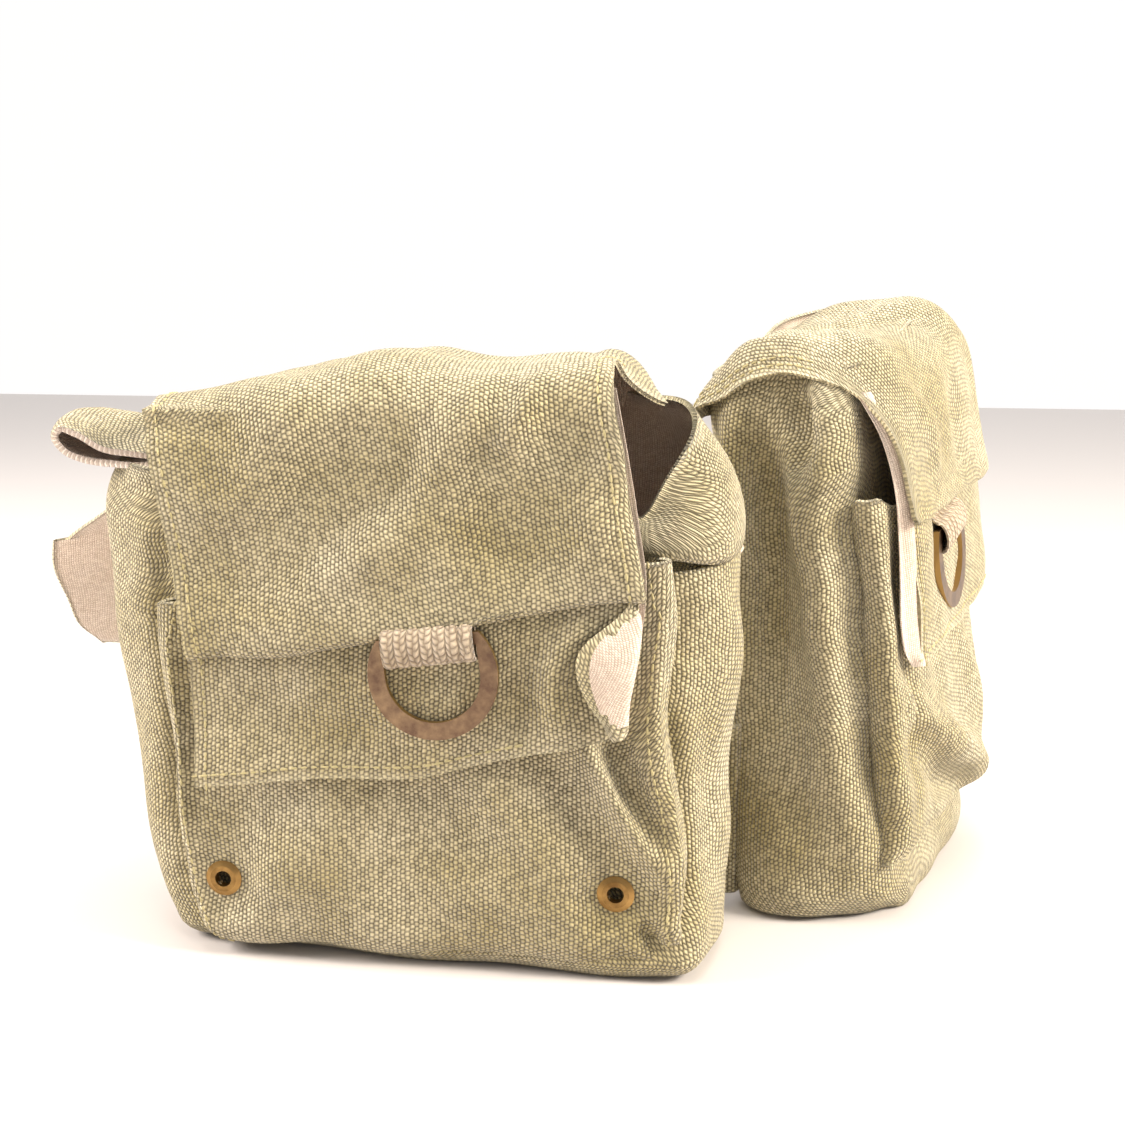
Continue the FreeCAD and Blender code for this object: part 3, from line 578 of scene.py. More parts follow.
# cloth under the eyelets' flanges: its outer face, flat out to the flange, easing off; hole; panel's depth
eyeletSeat = dict(face=-39.9, flange=6.5, ease=6.0, hole=4.0, panel=-33)
pocketSeams = []
for first in (-1, 1):  # stitching runs just inside the two piped edges
    rowSeam = []
    for row in pocketGrid:
        front = row[row[:, 1] < -36]
        if len(front) > 4:
            rowSeam.append(front[3 if first < 0 else -4])
    pocketSeams.append(np.array(rowSeam))
hole = np.zeros((pocketGrid.shape[0] - 1, pocketGrid.shape[1] - 1), bool)
for x, y, z in eyelets:
    away = np.hypot(pocketGrid[..., 0] - x, pocketGrid[..., 2] - z)
    away = np.where(pocketGrid[..., 1] > eyeletSeat["panel"], 99, away)
    pull = np.exp(-(np.maximum(away - eyeletSeat["flange"], 0) / eyeletSeat["ease"]) ** 2)
    pocketGrid[..., 1] += (eyeletSeat["face"] - pocketGrid[..., 1]) * pull
    hole |= away[:-1, :-1] < eyeletSeat["hole"]
pocket = clothMesh("mainPocket", "main", pocketGrid, mainPocket["wall"], [canvas, canvas, canvas], hole=hole)
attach(pocket, "main_pouch")
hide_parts("main_pocket_panel", "main_pocket_gusset", "main_loop_tape")
print("main pocket ready")

# flap of the main pouch, drawn as one cloth from the back seam to its hem
mainFlap = dict(
    step=1.6, canvasWall=1.5, liningWall=0.8, clear=-46.2, splitDepth=-20,
    topX=(-91, -71, -38, -6, 19, 44, 58), topZ=(189, 193, 200, 204, 200.5, 203, 203.5),
    hemX=(-79, -60, -30, 5, 28, 52, 69), hemZ=(106, 108, 113, 118, 123, 129, 131),
    hemOut=(0, 0, 0.3, 1.4, 0.9, 0, 0),  # the hem stands out over the ring's tab
    backShift=(-7, -6, -4, -2, 0, 1, 2),
    # depth, drop of the row under the top line, extra drop at the left end, right shoulder's x and z
    top=((30, 26, 2, 68, 166), (28.8, 8, 3, 71, 181), (21, 1.5, 3, 71, 185), (8, 0, 2.5, 72, 186),
         (-6, 0, 1.5, 70, 188), (-20, -0.4, 1, 62.5, 197)),
)
topX, topLine, hemX, hemZ, hemOut = (mainFlap[n] for n in ("topX", "topZ", "hemX", "hemZ", "hemOut"))
topNet = []
for depth, drop, leftDrop, shoulderX, shoulderZ in mainFlap["top"]:
    far = (depth + 46) / 72
    ends = (leftDrop, leftDrop * 0.3, 0, 0, 0, 1.0 * far, 5.0 * far)
    row = [(x + shift * far + (3 * far if i == 6 else 0), depth, z - drop - end)
           for i, (x, shift, z, end) in enumerate(zip(topX, mainFlap["backShift"], topLine, ends))]
    topNet.append(row + [(shoulderX, depth, shoulderZ)])
frontNet = [topNet[-1]]
for depth, drop, share in ((-34, -0.3, 0), (-42.5, -4, 0.03), (-47.2, -12, 0.11)):
    row = [(x + (hx - x) * share, depth, z + drop) for x, z, hx in zip(topX, topLine, hemX)]
    frontNet.append(row + [(row[-1][0] + 1.2, depth + 0.3, row[-1][2] - 0.2)])
for share, depth in ((0.35, -48), (0.6, -48), (0.82, -48.5), (0.95, -49), (0.99, -48.9)):
    row = [(x + (hx - x) * share, depth - out * max(share - 0.6, 0) / 0.4, z + (hz - z) * share)
           for x, z, hx, hz, out in zip(topX, topLine, hemX, hemZ, hemOut)]
    frontNet.append(row + [(row[-1][0] + 1.4, depth + 0.6, row[-1][2])])
for depth, lift in ((-47.6, -0.6), (-46.4, 2.5)):
    row = [(x, depth - out, z + lift) for x, z, out in zip(hemX, hemZ, hemOut)]
    frontNet.append(row + [(row[-1][0] + 1.4, depth, row[-1][2])])


# path, width, height of the flap's soft folds
flapFolds = (
    (((21, -40, 203), (20, -47, 190), (8, -48, 168), (-22, -48, 140), (-46, -48, 124)), 9, -3.4),
    (((36, -44, 203), (33, -47, 192), (26, -48, 176)), 5, -3.0),
    (((28, -44, 203), (27, -47, 194), (18, -48, 176), (0, -48, 156)), 4.5, 2.0),
    (((-4, -46, 203), (-12, -47, 176), (-40, -48, 150), (-70, -48, 130)), 12, 3.2),
    (((-40, -46, 198), (-52, -47, 172), (-70, -48, 150)), 11, -2.4),
    (((52, -47, 192), (42, -48, 164), (20, -48, 142)), 11, 2.8),
    (((50, -47, 172), (56, -48, 150), (52, -48, 136)), 7, -2.2),
    (((-72, -44, 192), (-60, -47, 182), (-44, -48, 176)), 7, 1.8),
)
whole = patch(topNet[:-1] + frontNet, mainFlap["step"])
for path, width, height in flapFolds:
    whole = fold(whole, path, width, height)
whole = ripple(whole, 24.0, 2.2, 11)
hanging = (whole[..., 1] < -35) & (whole[..., 2] < 188)  # the front stays clear of its lining
whole[..., 1] = np.where(hanging, np.minimum(whole[..., 1], mainFlap["clear"]), whole[..., 1])
wholeCloth = clothCoordinates(whole)


def splitAt(grid, depth):
    # row where the middle of a flap's top comes nearest to a depth; rows of its front don't count
    away = np.abs(grid[:, grid.shape[1] // 2, 1] - depth)
    return int(np.argmin(away + (np.arange(len(grid)) > len(grid) // 2) * 99))


splitRow = splitAt(whole, mainFlap["splitDepth"])
frontCloth = whole[splitRow:]
flapTop = clothMesh("mainFlapTop", "main", whole[:splitRow + 1], -mainFlap["canvasWall"],
                    [canvas, lining, canvas], flats=wholeCloth[:splitRow + 1])
flapFront = clothMesh("mainFlapFront", "main", frontCloth, -mainFlap["canvasWall"], [canvas],
                      flats=wholeCloth[splitRow:])
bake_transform(flapTop)
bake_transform(flapFront)
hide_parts("main_flap_top_canvas", "main_flap_top_lining")
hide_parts("main_flap_upper_canvas")

# lower layer of the flap, out from under the tuck, with its right corner turned over
mainLower = dict(
    step=1.5, clear=-45.0, hem=4.6, x=(-79, -58, -40, -3, 30, 49, 57), hemZ=(62, 64.5, 67, 69, 78, 82, 84),
    # share of the way down, depth
    rows=((-0.12, -45), (0.1, -46), (0.4, -46.5), (0.75, -47), (0.95, -47.5), (1.0, -47.2)),
    folds=((((-70, -46, 90), (-30, -47, 84), (0, -47, 72)), 9, 1.8),
           (((54, -46, 124), (42, -47, 104), (46, -47, 84)), 6, -4.0),
           (((36, -46, 118), (30, -47, 98), (34, -47, 82)), 7, 2.2)),
)
net = []
for share, depth in mainLower["rows"]:
    row = []
    for i, (x, hz) in enumerate(zip(mainLower["x"], mainLower["hemZ"])):
        tuck = hemZ[0] + (x - hemX[0]) * 0.168
        row.append((x + (1 - share) * 1.0 * (i > 3), depth, tuck + (hz - tuck) * share))
    curl = min(max((share + 0.02) / 0.45, 0), 1) * (1 - 0.9 * max(share - 0.6, 0) / 0.4)
    z = row[-1][2]
    edge = 69 - 2 * share - 3.5 * max(share - 0.5, 0) / 0.5
    row += [(edge - 1.5, depth - 0.5, z + 2.5), (edge, depth - 3.2 * curl, z + 3 - curl),
            (edge - 1.5 - 8 * curl, depth - 6.0 * curl, z + 2 + 0.5 * curl),
            (edge - 19 * curl, depth - 6.4 * curl, z + 2.5 + curl)]
    net.append(row)
lowerGrid = patch(net, mainLower["step"])
for path, width, height in mainLower["folds"]:
    lowerGrid = fold(lowerGrid, path, width, height)
lowerGrid = ripple(lowerGrid, 22.0, 2.0, 15)
lowerGrid[..., 1] = np.minimum(lowerGrid[..., 1], mainLower["clear"])
lowerCloth = lowerGrid[:, :int(lowerGrid.shape[1] * 0.72)]  # the part left of the turned corner
flapLower = clothMesh("mainFlapLower", "main", lowerGrid, -mainFlap["canvasWall"], [canvas, lining, canvas],
                      hem=mainLower["hem"])
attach(flapLower, "main_flap_drop")
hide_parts("main_flap_lower_canvas", "main_hook_tape")

# lining of the hanging flap: a paler edge stands out past the canvas on the right
# level and how far the right edge stands out
mainLining = dict(step=2.2, depth=-43.4, tilt=0.13,
                  rows=((194, 0.8), (180, 2.0), (150, 3.4), (132, 3.6), (118, 1.0), (104, -4), (92, -12)))
liningNet = []
for level, out in mainLining["rows"]:
    share = (200 - level) / 80
    left, right = -91 + 12 * share + 1, 58.5 + 9.5 * share + out
    depth = mainLining["depth"] + (level > 190) * 2
    across = [left + (right - left) * k for k in (0, 0.3, 0.6, 0.9, 0.97, 1)]
    liningNet.append([(x, depth, level + mainLining["tilt"] * x - 6) for x in across])
liningGrid = patch(liningNet, mainLining["step"])
flapLining = clothMesh("mainFlapLining", "main", liningGrid, -mainFlap["liningWall"], [lining])
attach(flapLining, "main_flap_drop")
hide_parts("main_flap_drop_lining")
print("main flap ready")


def ringFrame(pouch):
    # the middle of the ring's bar, with across, outward and up directions
    swing = joints[f"{pouch}_ring_swing"]
    across = -Vector(swing["axis"]).normalized()
    outward = -Vector(frames[pouch][1][1])
    return Vector(swing["pos_m"]), across, outward, across.cross(-outward)


tabShape = dict(half=15.0, cords=7, wall=0.9, cordHeight=0.55, across=71, along=40,
                # outward and up from the bar's middle: down the front, round the bar and up behind
                path=((-2.2, 7.5), (-0.6, 5.2), (2.2, 3.4), (3.5, 0.4), (3.6, -3.4), (2.6, -6.2),
                      (0.2, -7.2), (-2.4, -5.8), (-3.6, -2.5), (-3.7, 4)))
for pouch in ("main", "side"):
    middle, acrossWay, outWay, upWay = ringFrame(pouch)
    line, lineLength = resampled(tabShape["path"], tabShape["along"])
    tangent = np.gradient(line, axis=0)
    outNormal = np.stack([tangent[:, 1], -tangent[:, 0]], axis=1)
    outNormal /= -np.linalg.norm(outNormal, axis=1, keepdims=True)
    spread = np.linspace(-1, 1, tabShape["across"])
    cordWave = np.abs(np.sin((spread + 1) / 2 * math.pi * tabShape["cords"])) ** 0.6
    grid = np.zeros((len(line), len(spread), 3))
    for j, s in enumerate(spread):
        grid[:, j, 0] = s * tabShape["half"]
        grid[:, j, 1:] = line + outNormal * (tabShape["cordHeight"] * cordWave[j])
    world = (np.array(middle) + grid[..., :1] * mm * np.array(acrossWay) + grid[..., 1:2] * mm * np.array(outWay)
             + grid[..., 2:] * mm * np.array(upWay))
    origin, axes = frames[pouch]
    local = (world - origin) @ axes.T / mm
    tab = clothMesh(f"{pouch}RingTab", pouch, local[::-1], tabShape["wall"], [webbing])
    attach(tab, f"{pouch}_flap_drop")
    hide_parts(f"{pouch}_ring_tab")
print("tabs ready")

# body of the side pouch
sideBody = dict(step=2.4, wall=4.5, mouth=2.0, padTop=150, padFade=60, floorSlope=0.105)
# near gusset, from its front seam round to its back seam: each row gives (x, y) and one level
nearRows = (
    (1.0, ((-50, -24), (-58, -20), (-66, -12), (-73, -2), (-75, 10), (-69, 22), (-52, 26))),
    (6, ((-56, -28), (-63, -23), (-70, -13), (-76, -2), (-77, 11), (-70, 24), (-52, 29))),
    (18, ((-59, -28), (-67, -23), (-72, -13), (-75, -2), (-76, 11), (-69, 25), (-52, 30))),
    (45, ((-59, -27), (-67, -22), (-72, -12), (-71, -2), (-71, 10), (-66, 25), (-51, 30))),
    (85, ((-59, -26), (-65, -21), (-71, -13), (-65, -3), (-63, 9), (-63, 24), (-50, 30))),
    (120, ((-58, -26), (-64, -22), (-70, -14), (-61, -4), (-57, 6), (-61, 22), (-50, 29))),
    (145, ((-57, -26), (-62, -23), (-69, -14), (-63, -5), (-54, 6), (-60, 21), (-50, 28))),
    (165, ((-55, -27), (-61, -24), (-66, -16), (-59, -5), (-55, 5), (-59, 20), (-50, 27))),
    (180, ((-52, -27), (-57, -25), (-60, -17), (-54, -6), (-55, 5), (-58, 18), (-50, 27))),
    (192, ((-48, -26), (-52, -23), (-54, -15), (-52, -6), (-54, 5), (-56, 17), (-49, 26))),
)
rows = []
for level, near in nearRows:
    far = min(1, 0.8 + level / 60)
    rise = 0.0009 * level
    front = -26.5 - 5 * max(0, 1 - level / 40) + (3 if level < 3 else 0)
    back, sag = (26 if level > 3 else 22), max(0, 1 - level / 45)
    loop = [(-46, front - 0.5), (-24, front - 1.5), (2, front - 2), (28, front - 1.5)]
    loop += [(48 * far, front - 0.5), (54 * far, front + 1)]
    loop += [(60 * far, -20), (65 * far, -8), (65 * far, 6), (62 * far, 18), (54 * far, back)]
    loop += [(2, back + 1.5)] + list(near[::-1])
    # the bottom rests on the floor, which lies aslant in the leaning pouch's own frame
    rows.append([(x, y, level + rise * (x + 56) + sag * (sideBody["floorSlope"] * y - 2.8)) for x, y in loop])
base = bottomRows(rows[0], lift=-2.3, slope=sideBody["floorSlope"])
sideGrid = patch(base + rows, sideBody["step"], loop=True)
sideFolds = (
    (((-58, 7, 172), (-57, 7, 142), (-60, 7, 105), (-64, 6, 66)), 6.0, -5.5),
    (((-60, 1, 176), (-62, 0, 164), (-64, -5, 149), (-66, -8, 127), (-68, -10, 96)), 5.0, 4.0),
    (((-64, -13, 150), (-68, -15, 120), (-69, -16, 90), (-68, -18, 53), (-66, -24, 25)), 5.5, 3.2),
    (((-62, -12, 160), (-66, -11, 135), (-68, -12, 110)), 4.0, -2.6),
    (((-54, -5, 184), (-57, -8, 176), (-60, -9, 166), (-62, -6, 158)), 4.2, -8.0),
    (((-52, -14, 190), (-58, -16, 182), (-62, -17, 172)), 4.0, 3.4),
    (((-60, 20, 170), (-61, 19, 110), (-62, 18, 50)), 6.0, 2.4),
    (((-66, 0, 60), (-67, -6, 36), (-64, -14, 16)), 8.0, -2.0),
)
for path, width, height in sideFolds:
    sideGrid = fold(sideGrid, path, width, height, True)
sideGrid = ripple(sideGrid, 30.0, 2.2, 21, True)
sideShell = clothMesh("sideShell", "side", sideGrid, wallOf(sideBody, sideGrid), [canvas, lining, canvas],
                      loop=True)
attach(sideShell, "side_pouch")
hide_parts(*[f"side_{n}" for n in (
    "front_canvas", "back_canvas", "bottom_canvas", "gusset_left_canvas", "gusset_right_canvas", "front_foam",
    "back_foam", "bottom_foam", "gusset_left_foam", "gusset_right_foam", "lining", "ear_left", "ear_right")])
print("side shell ready")

sidePocket = dict(step=1.8, wall=1.5, rows=(
    # level, front depth near, front depth far
    (18, -33, -34), (22, -36, -37), (36, -38, -41), (60, -38, -41), (85, -37, -39), (110, -37, -38),
    (132, -36.5, -38), (147, -36, -38)))
net = []
for level, near, far in sidePocket["rows"]:
    columns = [(-57, -24.5), (-62, -27), (-64, -31), (-61, near + 1), (-53, near - 1), (-35, near - 1.5),
               (-8, (near + far) / 2 - 2), (18, far - 2), (40, far - 1), (52, far + 1), (58, -33), (59, -29), (55, -25)]
    tilt = 0.02 if level < 100 else 0.06
    net.append([(x, y, level + tilt * x + (4 if level > 140 and x < -58 else 0)) for x, y in columns])
pocketGrid = patch(net, sidePocket["step"])
sidePocketFolds = (
    (((-62, -34, 142), (-63, -35, 110), (-62, -35, 70), (-60, -34, 30)), 3.4, 3.4),
    (((-52, -38, 130), (-47, -38, 80), (-46, -39, 56), (-52, -38, 30)), 5.0, -3.6),
    (((-40, -38, 110), (-30, -39, 80), (-24, -40, 60)), 7.0, 2.6),
    (((-56, -40, 76), (-18, -42, 52), (20, -42, 32), (42, -41, 19)), 7.5, 8.0),
    (((-50, -40, 58), (-21, -41, 36), (18, -41, 20)), 6.5, -5.0),
    (((-30, -40, 24), (-4, -40, 20), (20, -40, 15)), 5.0, 2.4),
    (((10, -40, 110), (22, -41, 70), (40, -41, 40)), 9.0, 3.0),
)
for path, width, height in sidePocketFolds:
    pocketGrid = fold(pocketGrid, path, width, height)
pocketGrid = ripple(pocketGrid, 24.0, 2.2, 31)
sidePocketPiece = clothMesh("sidePocket", "side", pocketGrid, sidePocket["wall"], [canvas])
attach(sidePocketPiece, "side_pouch")
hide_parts("side_pocket_panel", "side_pocket_gusset", "side_loop_tape")

# flap of the side pouch: saggy near edge, high far corner; each row gives a depth and its levels
sideFlap = dict(step=1.6, canvasWall=1.5, liningWall=0.8, splitDepth=-12, frontNear=-56.4)
sideColumns = (-60, -55, -42, -22, 0, 22, 42, 54)
sideTop = ((32.5, (176, 178, 179, 182, 185, 187, 189, 186)), (31, (183, 187, 190, 194, 197, 200, 203, 199)),
           (21, (186, 195, 199, 202, 203, 205, 208, 204)), (10, (191, 202, 205, 206, 205, 208, 213, 209)),
           (-4, (193, 202, 206, 206, 203, 207, 215, 211)), (-12, (191, 198, 205, 206, 203, 207, 215, 212)))
sideFront = ((-26, (185, 188, 200, 203, 203, 206, 213, 210)), (-36, (175.5, 176.5, 190, 196, 198, 201, 207, 205)),
             (-43, (160, 160.5, 170, 178, 183, 188, 194, 193)), (-45.5, (148, 148, 152, 158, 163, 168, 173, 174)),
             (-46.5, (141, 141, 143, 145, 147, 149, 151, 153)), (-46.8, (137.5, 137.5, 138, 138.5, 139, 140, 141, 142)),
             (-45.2, (137, 137, 137.5, 138, 138.5, 139.5, 140.5, 141.5)))
net = [[(x, y, z) for x, z in zip(sideColumns, levels)] for y, levels in sideTop]
for y, levels in sideFront:  # in front the near edge hangs straight, so its last strip closes up
    columns = (sideFlap["frontNear"],) + sideColumns[1:]
    net.append([(x, y, z) for x, z in zip(columns, levels)])
whole = patch(net, sideFlap["step"])
sideFlapFolds = (
    (((-52, 8, 204), (-30, 0, 208), (0, -10, 204)), 7, 3.0),
    (((-24, 14, 206), (2, 4, 205), (30, -20, 207), (44, -40, 196)), 7, -4.0),
    (((-50, -26, 192), (-30, -40, 182), (0, -46, 160)), 9, 2.6),
    (((-40, -34, 190), (-24, -44, 168), (-20, -46, 150)), 6, -2.6),
    (((20, -44, 184), (14, -46, 160), (18, -46, 148)), 8, 2.4),
)
for path, width, height in sideFlapFolds:
    whole = fold(whole, path, width, height)
whole = ripple(whole, 22.0, 2.0, 41)
splitRow = splitAt(whole, sideFlap["splitDepth"])
wholeCloth = clothCoordinates(whole)
sideTopCloth = whole[:splitRow + 1]
sideFlapTop = clothMesh("sideFlapTop", "side", sideTopCloth, -sideFlap["canvasWall"], [canvas, lining, canvas],
                        hem=5, flats=wholeCloth[:splitRow + 1])
sideFlapFront = clothMesh("sideFlapFront", "side", whole[splitRow:], -sideFlap["canvasWall"],
                          [canvas, lining, canvas], hem=2, flats=wholeCloth[splitRow:])


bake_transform(sideFlapTop)
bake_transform(sideFlapFront)
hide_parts("side_flap_top_canvas", "side_flap_top_lining")
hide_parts("side_flap_upper_canvas")

# lower layer of the side flap: level, depth, how far the near edge stands out
sideLowerRows = ((146, -43.5, 0), (134, -44, 1), (118, -44.5, 2), (102, -45, 2.5), (92, -45, 2), (88, -44.6, 0))
net = []
for level, depth, nearOut in sideLowerRows:
    net.append([(-52 - nearOut, depth + 0.5, level - 2), (-46, depth - 0.8, level), (-22, depth - 1, level + 2),
                (0, depth - 1, level + 4), (22, depth - 1, level + 6), (44, depth - 0.8, level + 8),
                (53, depth, level + 8)])
lowerGrid = patch(net, sideFlap["step"])
lowerGrid = ripple(lowerGrid, 20.0, 1.6, 43)
sideLowerCloth = lowerGrid
sideFlapLower = clothMesh("sideFlapLower", "side", lowerGrid, -sideFlap["canvasWall"], [canvas, lining, canvas])
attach(sideFlapLower, "side_flap_drop")
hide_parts("side_flap_lower_canvas", "side_hook_tape")

# its lining: level, depth, how far the near edge stands out
sideLiningRows = ((184, -30, 1), (168, -38, 2), (150, -42, 3), (134, -42.5, 3.5), (118, -42.5, 5), (102, -42.5, 7),
                  (92, -43, 5), (87, -43.4, 0))
net = []
for level, depth, out in sideLiningRows:
    net.append([(-54 - out, depth + 2.5, level), (-53 - out * 0.4, depth - 1.2, level), (-46, depth - 0.2, level),
                (0, depth, level + 3), (40, depth, level + 6), (52, depth, level + 7)])
liningGrid = patch(net, 1.8)
sideFlapLining = clothMesh("sideFlapLining", "side", liningGrid, -sideFlap["liningWall"], [lining])
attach(sideFlapLining, "side_flap_drop")
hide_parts("side_flap_drop_lining")
print("side flap ready")

# belt wings
leftWing = dict(step=1.8, wall=2.3, rows=(
    (92, ((-98, 28), (-112, 26), (-124, 26.5), (-136, 25.5), (-142, 25))),
    (97, ((-98, 28), (-112, 27), (-126, 27), (-140, 25.5), (-149, 24.5))),
    (108, ((-98, 28), (-112, 28), (-126, 28), (-142, 26), (-154, 24))),
    (122, ((-98, 28), (-112, 28), (-128, 28), (-145, 26), (-159, 24))),
    (128, ((-98, 28), (-112, 28), (-128, 28), (-145, 26.5), (-159, 25)))))
net = [[(x, y, z) for x, y in line] for z, line in leftWing["rows"]]
net.append([(-98, 28, 162), (-112, 28, 160), (-128, 28, 149), (-145, 26.5, 137), (-158, 25, 129)])
wingGrid = patch(net, leftWing["step"])
wingLeft = clothMesh("wingLeft", "main", wingGrid, leftWing["wall"], [canvas, lining, canvas])
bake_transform(wingLeft)
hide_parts("wing_left_canvas", "wing_left_lining")

wingPlace = Vector(joints["wing_right_fold"]["pos_m"])
wingTurn = dict(angle=-53, reach=62, low=91, high=151, taper=14, step=1.8, wall=2.3)
origin, axes = frames["side"]
# the wing starts a little inside its joint, against the pouch's back
wingFoot = wingPlace - sideAcross * 0.018 + Vector(axes[1]) * 0.0015
out = Matrix.Rotation(math.radians(wingTurn["angle"]), 3, sideUp) @ sideAcross
net = []
for share in (0, 0.25, 0.5, 0.75, 1):
    spot = wingFoot + sideUp * ((wingTurn["low"] + (wingTurn["high"] - wingTurn["low"]) * share) * mm)
    row = [tuple((np.array(spot) - origin) @ axes.T / mm)]
    for k in (0, 0.35, 0.7, 1):
        low = wingTurn["low"] + wingTurn["taper"] * k
        high = wingTurn["high"] - wingTurn["taper"] * k
        spot = wingPlace + out * (wingTurn["reach"] * k * mm) + sideUp * ((low + (high - low) * share) * mm)
        row.append(tuple((np.array(spot) - origin) @ axes.T / mm))
    net.append(row)
wingGrid = patch(net, wingTurn["step"])
wingRight = clothMesh("wingRight", "side", wingGrid, wingTurn["wall"], [canvas, lining, canvas])
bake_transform(wingRight)
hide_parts("wing_right_canvas", "wing_right_lining")

# cloth bridge between the pouches, behind the hinge line
bridgeShape = dict(step=1.8, wall=1.5, start=(66, 27.5), levels=(4, 20, 50, 68))
start = bridgeShape["start"]
end = np.array((Vector((hinge.x, hinge.y, 0)) + sideAcross * 0.03 + Vector(axes[1]) * 0.001))[:2] / mm
mid = np.array([hinge.x / mm + 1.0, hinge.y / mm + 2.0])
net = []
for level in bridgeShape["levels"]:
    net.append([(start[0], start[1], level), ((start[0] + mid[0]) / 2, mid[1] + 0.5, level),
                (mid[0] - 6, mid[1], level), (mid[0], mid[1] + 1.5, level), (mid[0] + 1.5, mid[1] + 7, level), (end[0], end[1], level)])
bridgeGrid = patch(net, bridgeShape["step"])
bridge = clothMesh("clothBridge", "main", bridgeGrid, bridgeShape["wall"], [canvas])
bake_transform(bridge)
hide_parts("main_hinge_web", "side_hinge_web")


def edgeFirst(grid, edge):
    # a cloth grid turned so that one of its edges comes first in every row
    return {"left": grid, "right": grid[:, ::-1], "last": grid[::-1].transpose(1, 0, 2)}[edge]


def inset(grid, edge, gap, lift):
    # line along one edge of a cloth grid, a little way in and just above its outer face
    line = []
    for row, out in zip(edgeFirst(grid, edge), edgeFirst(normalsOf(grid), edge)):
        along = np.concatenate([[0], np.cumsum(np.linalg.norm(np.diff(row, axis=0), axis=1))])
        spot = [np.interp(gap, along, row[:, k]) for k in range(3)]
        way = [np.interp(gap, along, out[:, k]) for k in range(3)]
        line.append(np.array(spot) + np.array(way) * lift)
    return line


def stitchTree():
    # thread bars strung along a line: one squashed ball at every stitch, turned along the seam
    tree = bpy.data.node_groups.new("stitches", "GeometryNodeTree")
    for name, kind, way in (("Seam", "NodeSocketGeometry", "INPUT"), ("Pitch", "NodeSocketFloat", "INPUT"),
                            ("Size", "NodeSocketVector", "INPUT"), ("Seed", "NodeSocketInt", "INPUT"),
                            ("Thread", "NodeSocketMaterial", "INPUT"), ("Stitches", "NodeSocketGeometry", "OUTPUT")):
        tree.interface.new_socket(name, in_out=way, socket_type=kind)
    given = addNode(tree, "NodeGroupInput").outputs
    curve = addNode(tree, "GeometryNodeMeshToCurve", links={0: given["Seam"]})
    spaced = addNode(tree, "GeometryNodeResampleCurve", {"mode": "LENGTH"},
                     {"Curve": curve.outputs[0], "Length": given["Pitch"]})
    along = addNode(tree, "GeometryNodeInputTangent")
    turn = addNode(tree, "FunctionNodeAlignRotationToVector", {"axis": "Z"}, {"Vector": along.outputs[0]})
    uneven = addNode(tree, "FunctionNodeRandomValue", {"data_type": "FLOAT", 2: 0.8, 3: 1.15},
                     {"Seed": given["Seed"]})
    size = addNode(tree, "ShaderNodeVectorMath", {"operation": "SCALE"},
                   {0: given["Size"], "Scale": uneven.outputs[1]})
    ball = addNode(tree, "GeometryNodeMeshUVSphere", {"Segments": 6, "Rings": 4, "Radius": 1.0})
    strung = addNode(tree, "GeometryNodeInstanceOnPoints", links={
        "Points": spaced.outputs[0], "Instance": ball.outputs[0], "Rotation": turn.outputs[0], "Scale": size.outputs[0]})
    real = addNode(tree, "GeometryNodeRealizeInstances", links={0: strung.outputs[0]})
    made = addNode(tree, "GeometryNodeSetMaterial", links={0: real.outputs[0], "Material": given["Thread"]})
    addNode(tree, "NodeGroupOutput", links={"Stitches": made.outputs[0]})
    return tree


stitches = stitchTree()
seamThread = dict(pitch=0.0034, size=(0.00042, 0.00034, 0.0013))


def sew(name, pouch, lines, seed):
    # one piece of stitching from several seam lines in a pouch's millimetres
    points, edges = [], []
    for line in lines:
        edges += [(len(points) + i, len(points) + i + 1) for i in range(len(line) - 1)]
        points += list(line)
    mesh = bpy.data.meshes.new(name)
    mesh.from_pydata(place(pouch, np.array(points)).tolist(), edges, [])
    carrier = bpy.data.objects.new(name, mesh)
    scene.collection.objects.link(carrier)
    strung = carrier.modifiers.new("stitches", "NODES")
    strung.node_group = stitches
    values = {"Pitch": seamThread["pitch"], "Size": seamThread["size"], "Seed": seed, "Thread": thread}
    for item in stitches.interface.items_tree:
        if item.name in values:
            strung[item.identifier] = values[item.name]
    bpy.context.view_layer.update()
    baked = bpy.data.meshes.new_from_object(carrier.evaluated_get(bpy.context.evaluated_depsgraph_get()))
    carrier.modifiers.clear()
    carrier.data = baked
    return carrier


# polyester sewing thread, matt, close to the canvas in colour
thread, _, shader = newMaterial("seamThread", 0.7)
shader.inputs["Base Color"].default_value = linear("#b9ad80")
sink = -0.15  # flap cloths run downwards, so their outer face lies at minus
seamLines = (
    ("mainFlapStitches", "main", [inset(frontCloth, "left", 4, sink), inset(frontCloth, "right", 5, sink)]),
    ("mainLowerStitches", "main", [inset(lowerCloth, "left", 4, sink), inset(lowerCloth, "last", 4, sink)]),
    ("mainPocketStitches", "main", [seam + np.array([0, -0.2, 0]) for seam in pocketSeams]),
    ("sideFlapStitches", "side", [inset(sideTopCloth, "left", 3, sink), inset(sideTopCloth, "left", 6, sink)]),
    ("sideLowerStitches", "side", [inset(sideLowerCloth, "left", 3, sink), inset(sideLowerCloth, "last", 4, sink)]),
)
for seed, (name, pouch, lines) in enumerate(seamLines, start=5):
    sew(name, pouch, lines, seed)
flapSeam = bpy.data.objects["mainFlapStitches"]
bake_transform(flapSeam)
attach(bpy.data.objects["mainLowerStitches"], "main_flap_drop")
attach(bpy.data.objects["mainPocketStitches"], "main_pouch")
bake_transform(bpy.data.objects["sideFlapStitches"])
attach(bpy.data.objects["sideLowerStitches"], "side_flap_drop")
print("stitches ready")

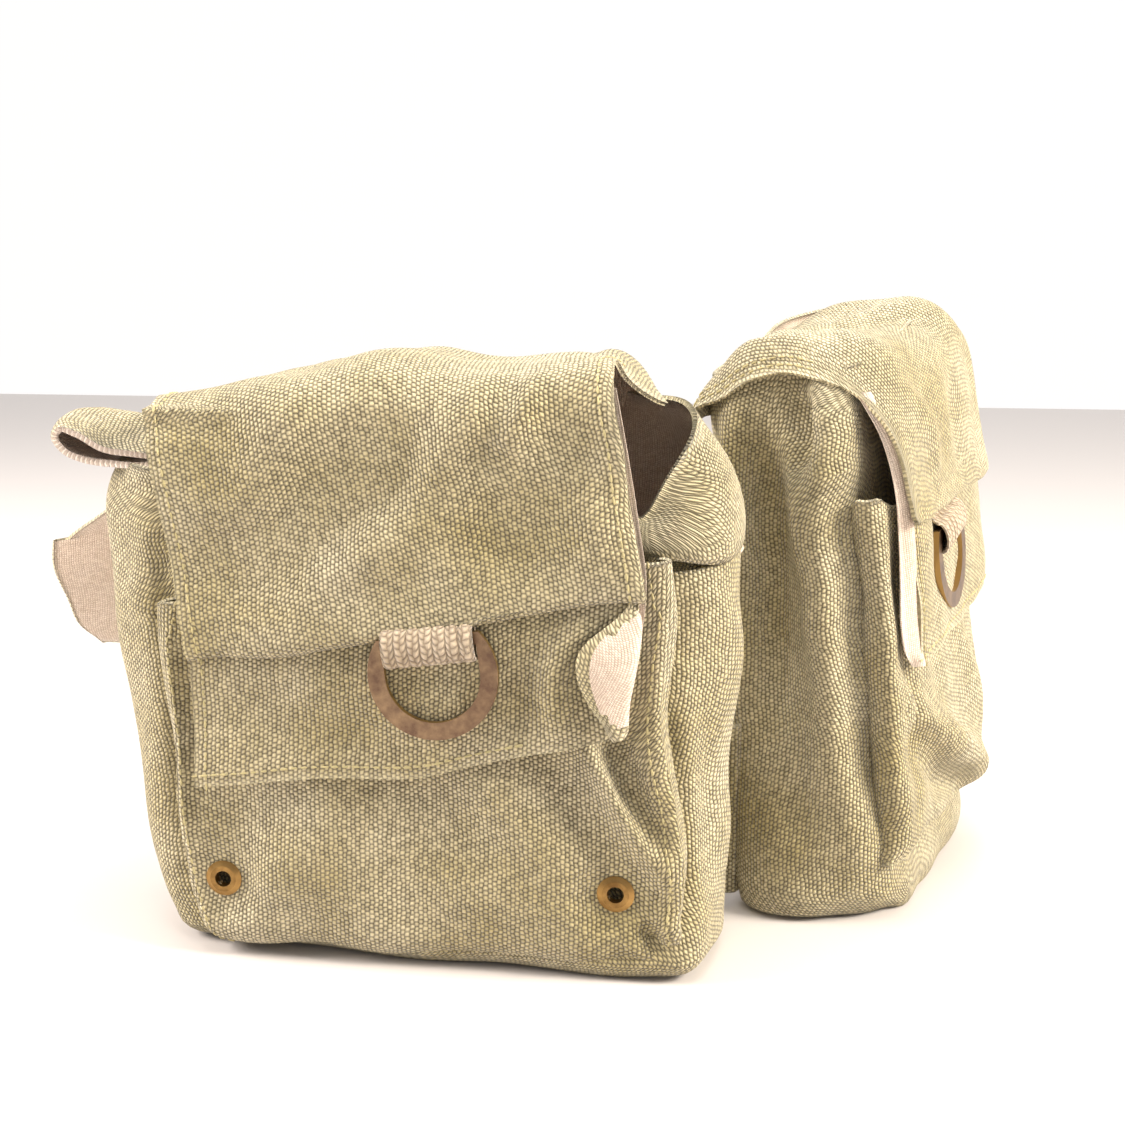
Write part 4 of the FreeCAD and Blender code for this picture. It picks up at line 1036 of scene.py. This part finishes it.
# leather patch on the left wing
leather, tree, shader = newMaterial("grainedLeather", 0.55)
spot = addNode(tree, "ShaderNodeTexCoord")
grain = addNode(tree, "ShaderNodeTexVoronoi", {"Scale": 900.0}, {"Vector": spot.outputs["Object"]})
relief = addNode(tree, "ShaderNodeBump", {"Strength": 0.4, "Distance": 0.0002}, {"Height": grain.outputs["Distance"]})
tone = addNode(tree, "ShaderNodeMix", {"data_type": "RGBA", 6: linear("#a9825a"), 7: linear("#c79c6c")},
               {0: grain.outputs["Distance"]})
tree.links.new(tone.outputs[2], shader.inputs["Base Color"])
tree.links.new(relief.outputs[0], shader.inputs["Normal"])

# metal and leather parts that stay shown as they are
for name, metal in (("main_d_ring", mainBrass), ("side_d_ring", sideBrass), ("eyelet_left", eyeletBrass),
                    ("eyelet_right", eyeletBrass), ("eyelet_washer_left", eyeletBrass),
                    ("eyelet_washer_right", eyeletBrass)):
    for material in frame["nodes"][name].material_slots:
        material.material = metal
for material in frame["nodes"]["wing_left_patch"].material_slots:
    material.material = leather

# table, backdrop and light
paper, _, shader = newMaterial("whiteTable", 0.55)
shader.inputs["Base Color"].default_value = linear("#d4cfcd")
# lit paper behind the table
glow, _, shader = newMaterial("litBackdrop", 0.8)
shader.inputs["Base Color"].default_value = linear("#000000")
shader.inputs["Emission Color"].default_value = linear("#fffdfc")
shader.inputs["Emission Strength"].default_value = 1.0
table = dict(half=4, near=-3, end=1.93, paperFoot=-0.5, paperTop=2.4)  # metres
half, tableEnd, foot, top = (table[n] for n in ("half", "end", "paperFoot", "paperTop"))
stageMeshes = dict(
    floor=([(-half, table["near"], 0), (half, table["near"], 0), (half, tableEnd, 0), (-half, tableEnd, 0)], paper),
    backdrop=([(-half, tableEnd, foot), (half, tableEnd, foot), (half, tableEnd, top), (-half, tableEnd, top)], glow),
)
for name, (corners, material) in stageMeshes.items():
    mesh = bpy.data.meshes.new(name)
    mesh.from_pydata(corners, [], [(0, 1, 2, 3)])
    mesh.materials.append(material)
    sheetOfPaper = bpy.data.objects.new(name, mesh)
    scene.collection.objects.link(sheetOfPaper)
world = bpy.data.worlds.new("studio")
scene.world = world
world.use_nodes = True
world.node_tree.nodes["Background"].inputs["Color"].default_value = linear("#fffaf6")
world.node_tree.nodes["Background"].inputs["Strength"].default_value = 0.5
lights = dict(
    right=dict(place=(1.25, -0.15, 0.85), size=0.5, watts=38, colour="#fff6e8"),
    left=dict(place=(-1.15, -0.2, 0.75), size=0.6, watts=30, colour="#fff6ee"),
    above=dict(place=(0.1, -0.1, 1.5), size=0.8, watts=13, colour="#fffaf4"),
)
lampAim = Vector((0.03, 0, 0.09))  # middle of the bag
for name, values in lights.items():
    lamp = bpy.data.lights.new(name, "AREA")
    lamp.size, lamp.energy = values["size"], values["watts"]
    lamp.color = linear(values["colour"])[:3]
    holder = bpy.data.objects.new(name, lamp)
    holder.location = values["place"]
    holder.rotation_euler = (lampAim - holder.location).to_track_quat("-Z", "Y").to_euler()
    scene.collection.objects.link(holder)
scene.view_settings.view_transform = "Standard"
print("stage ready")
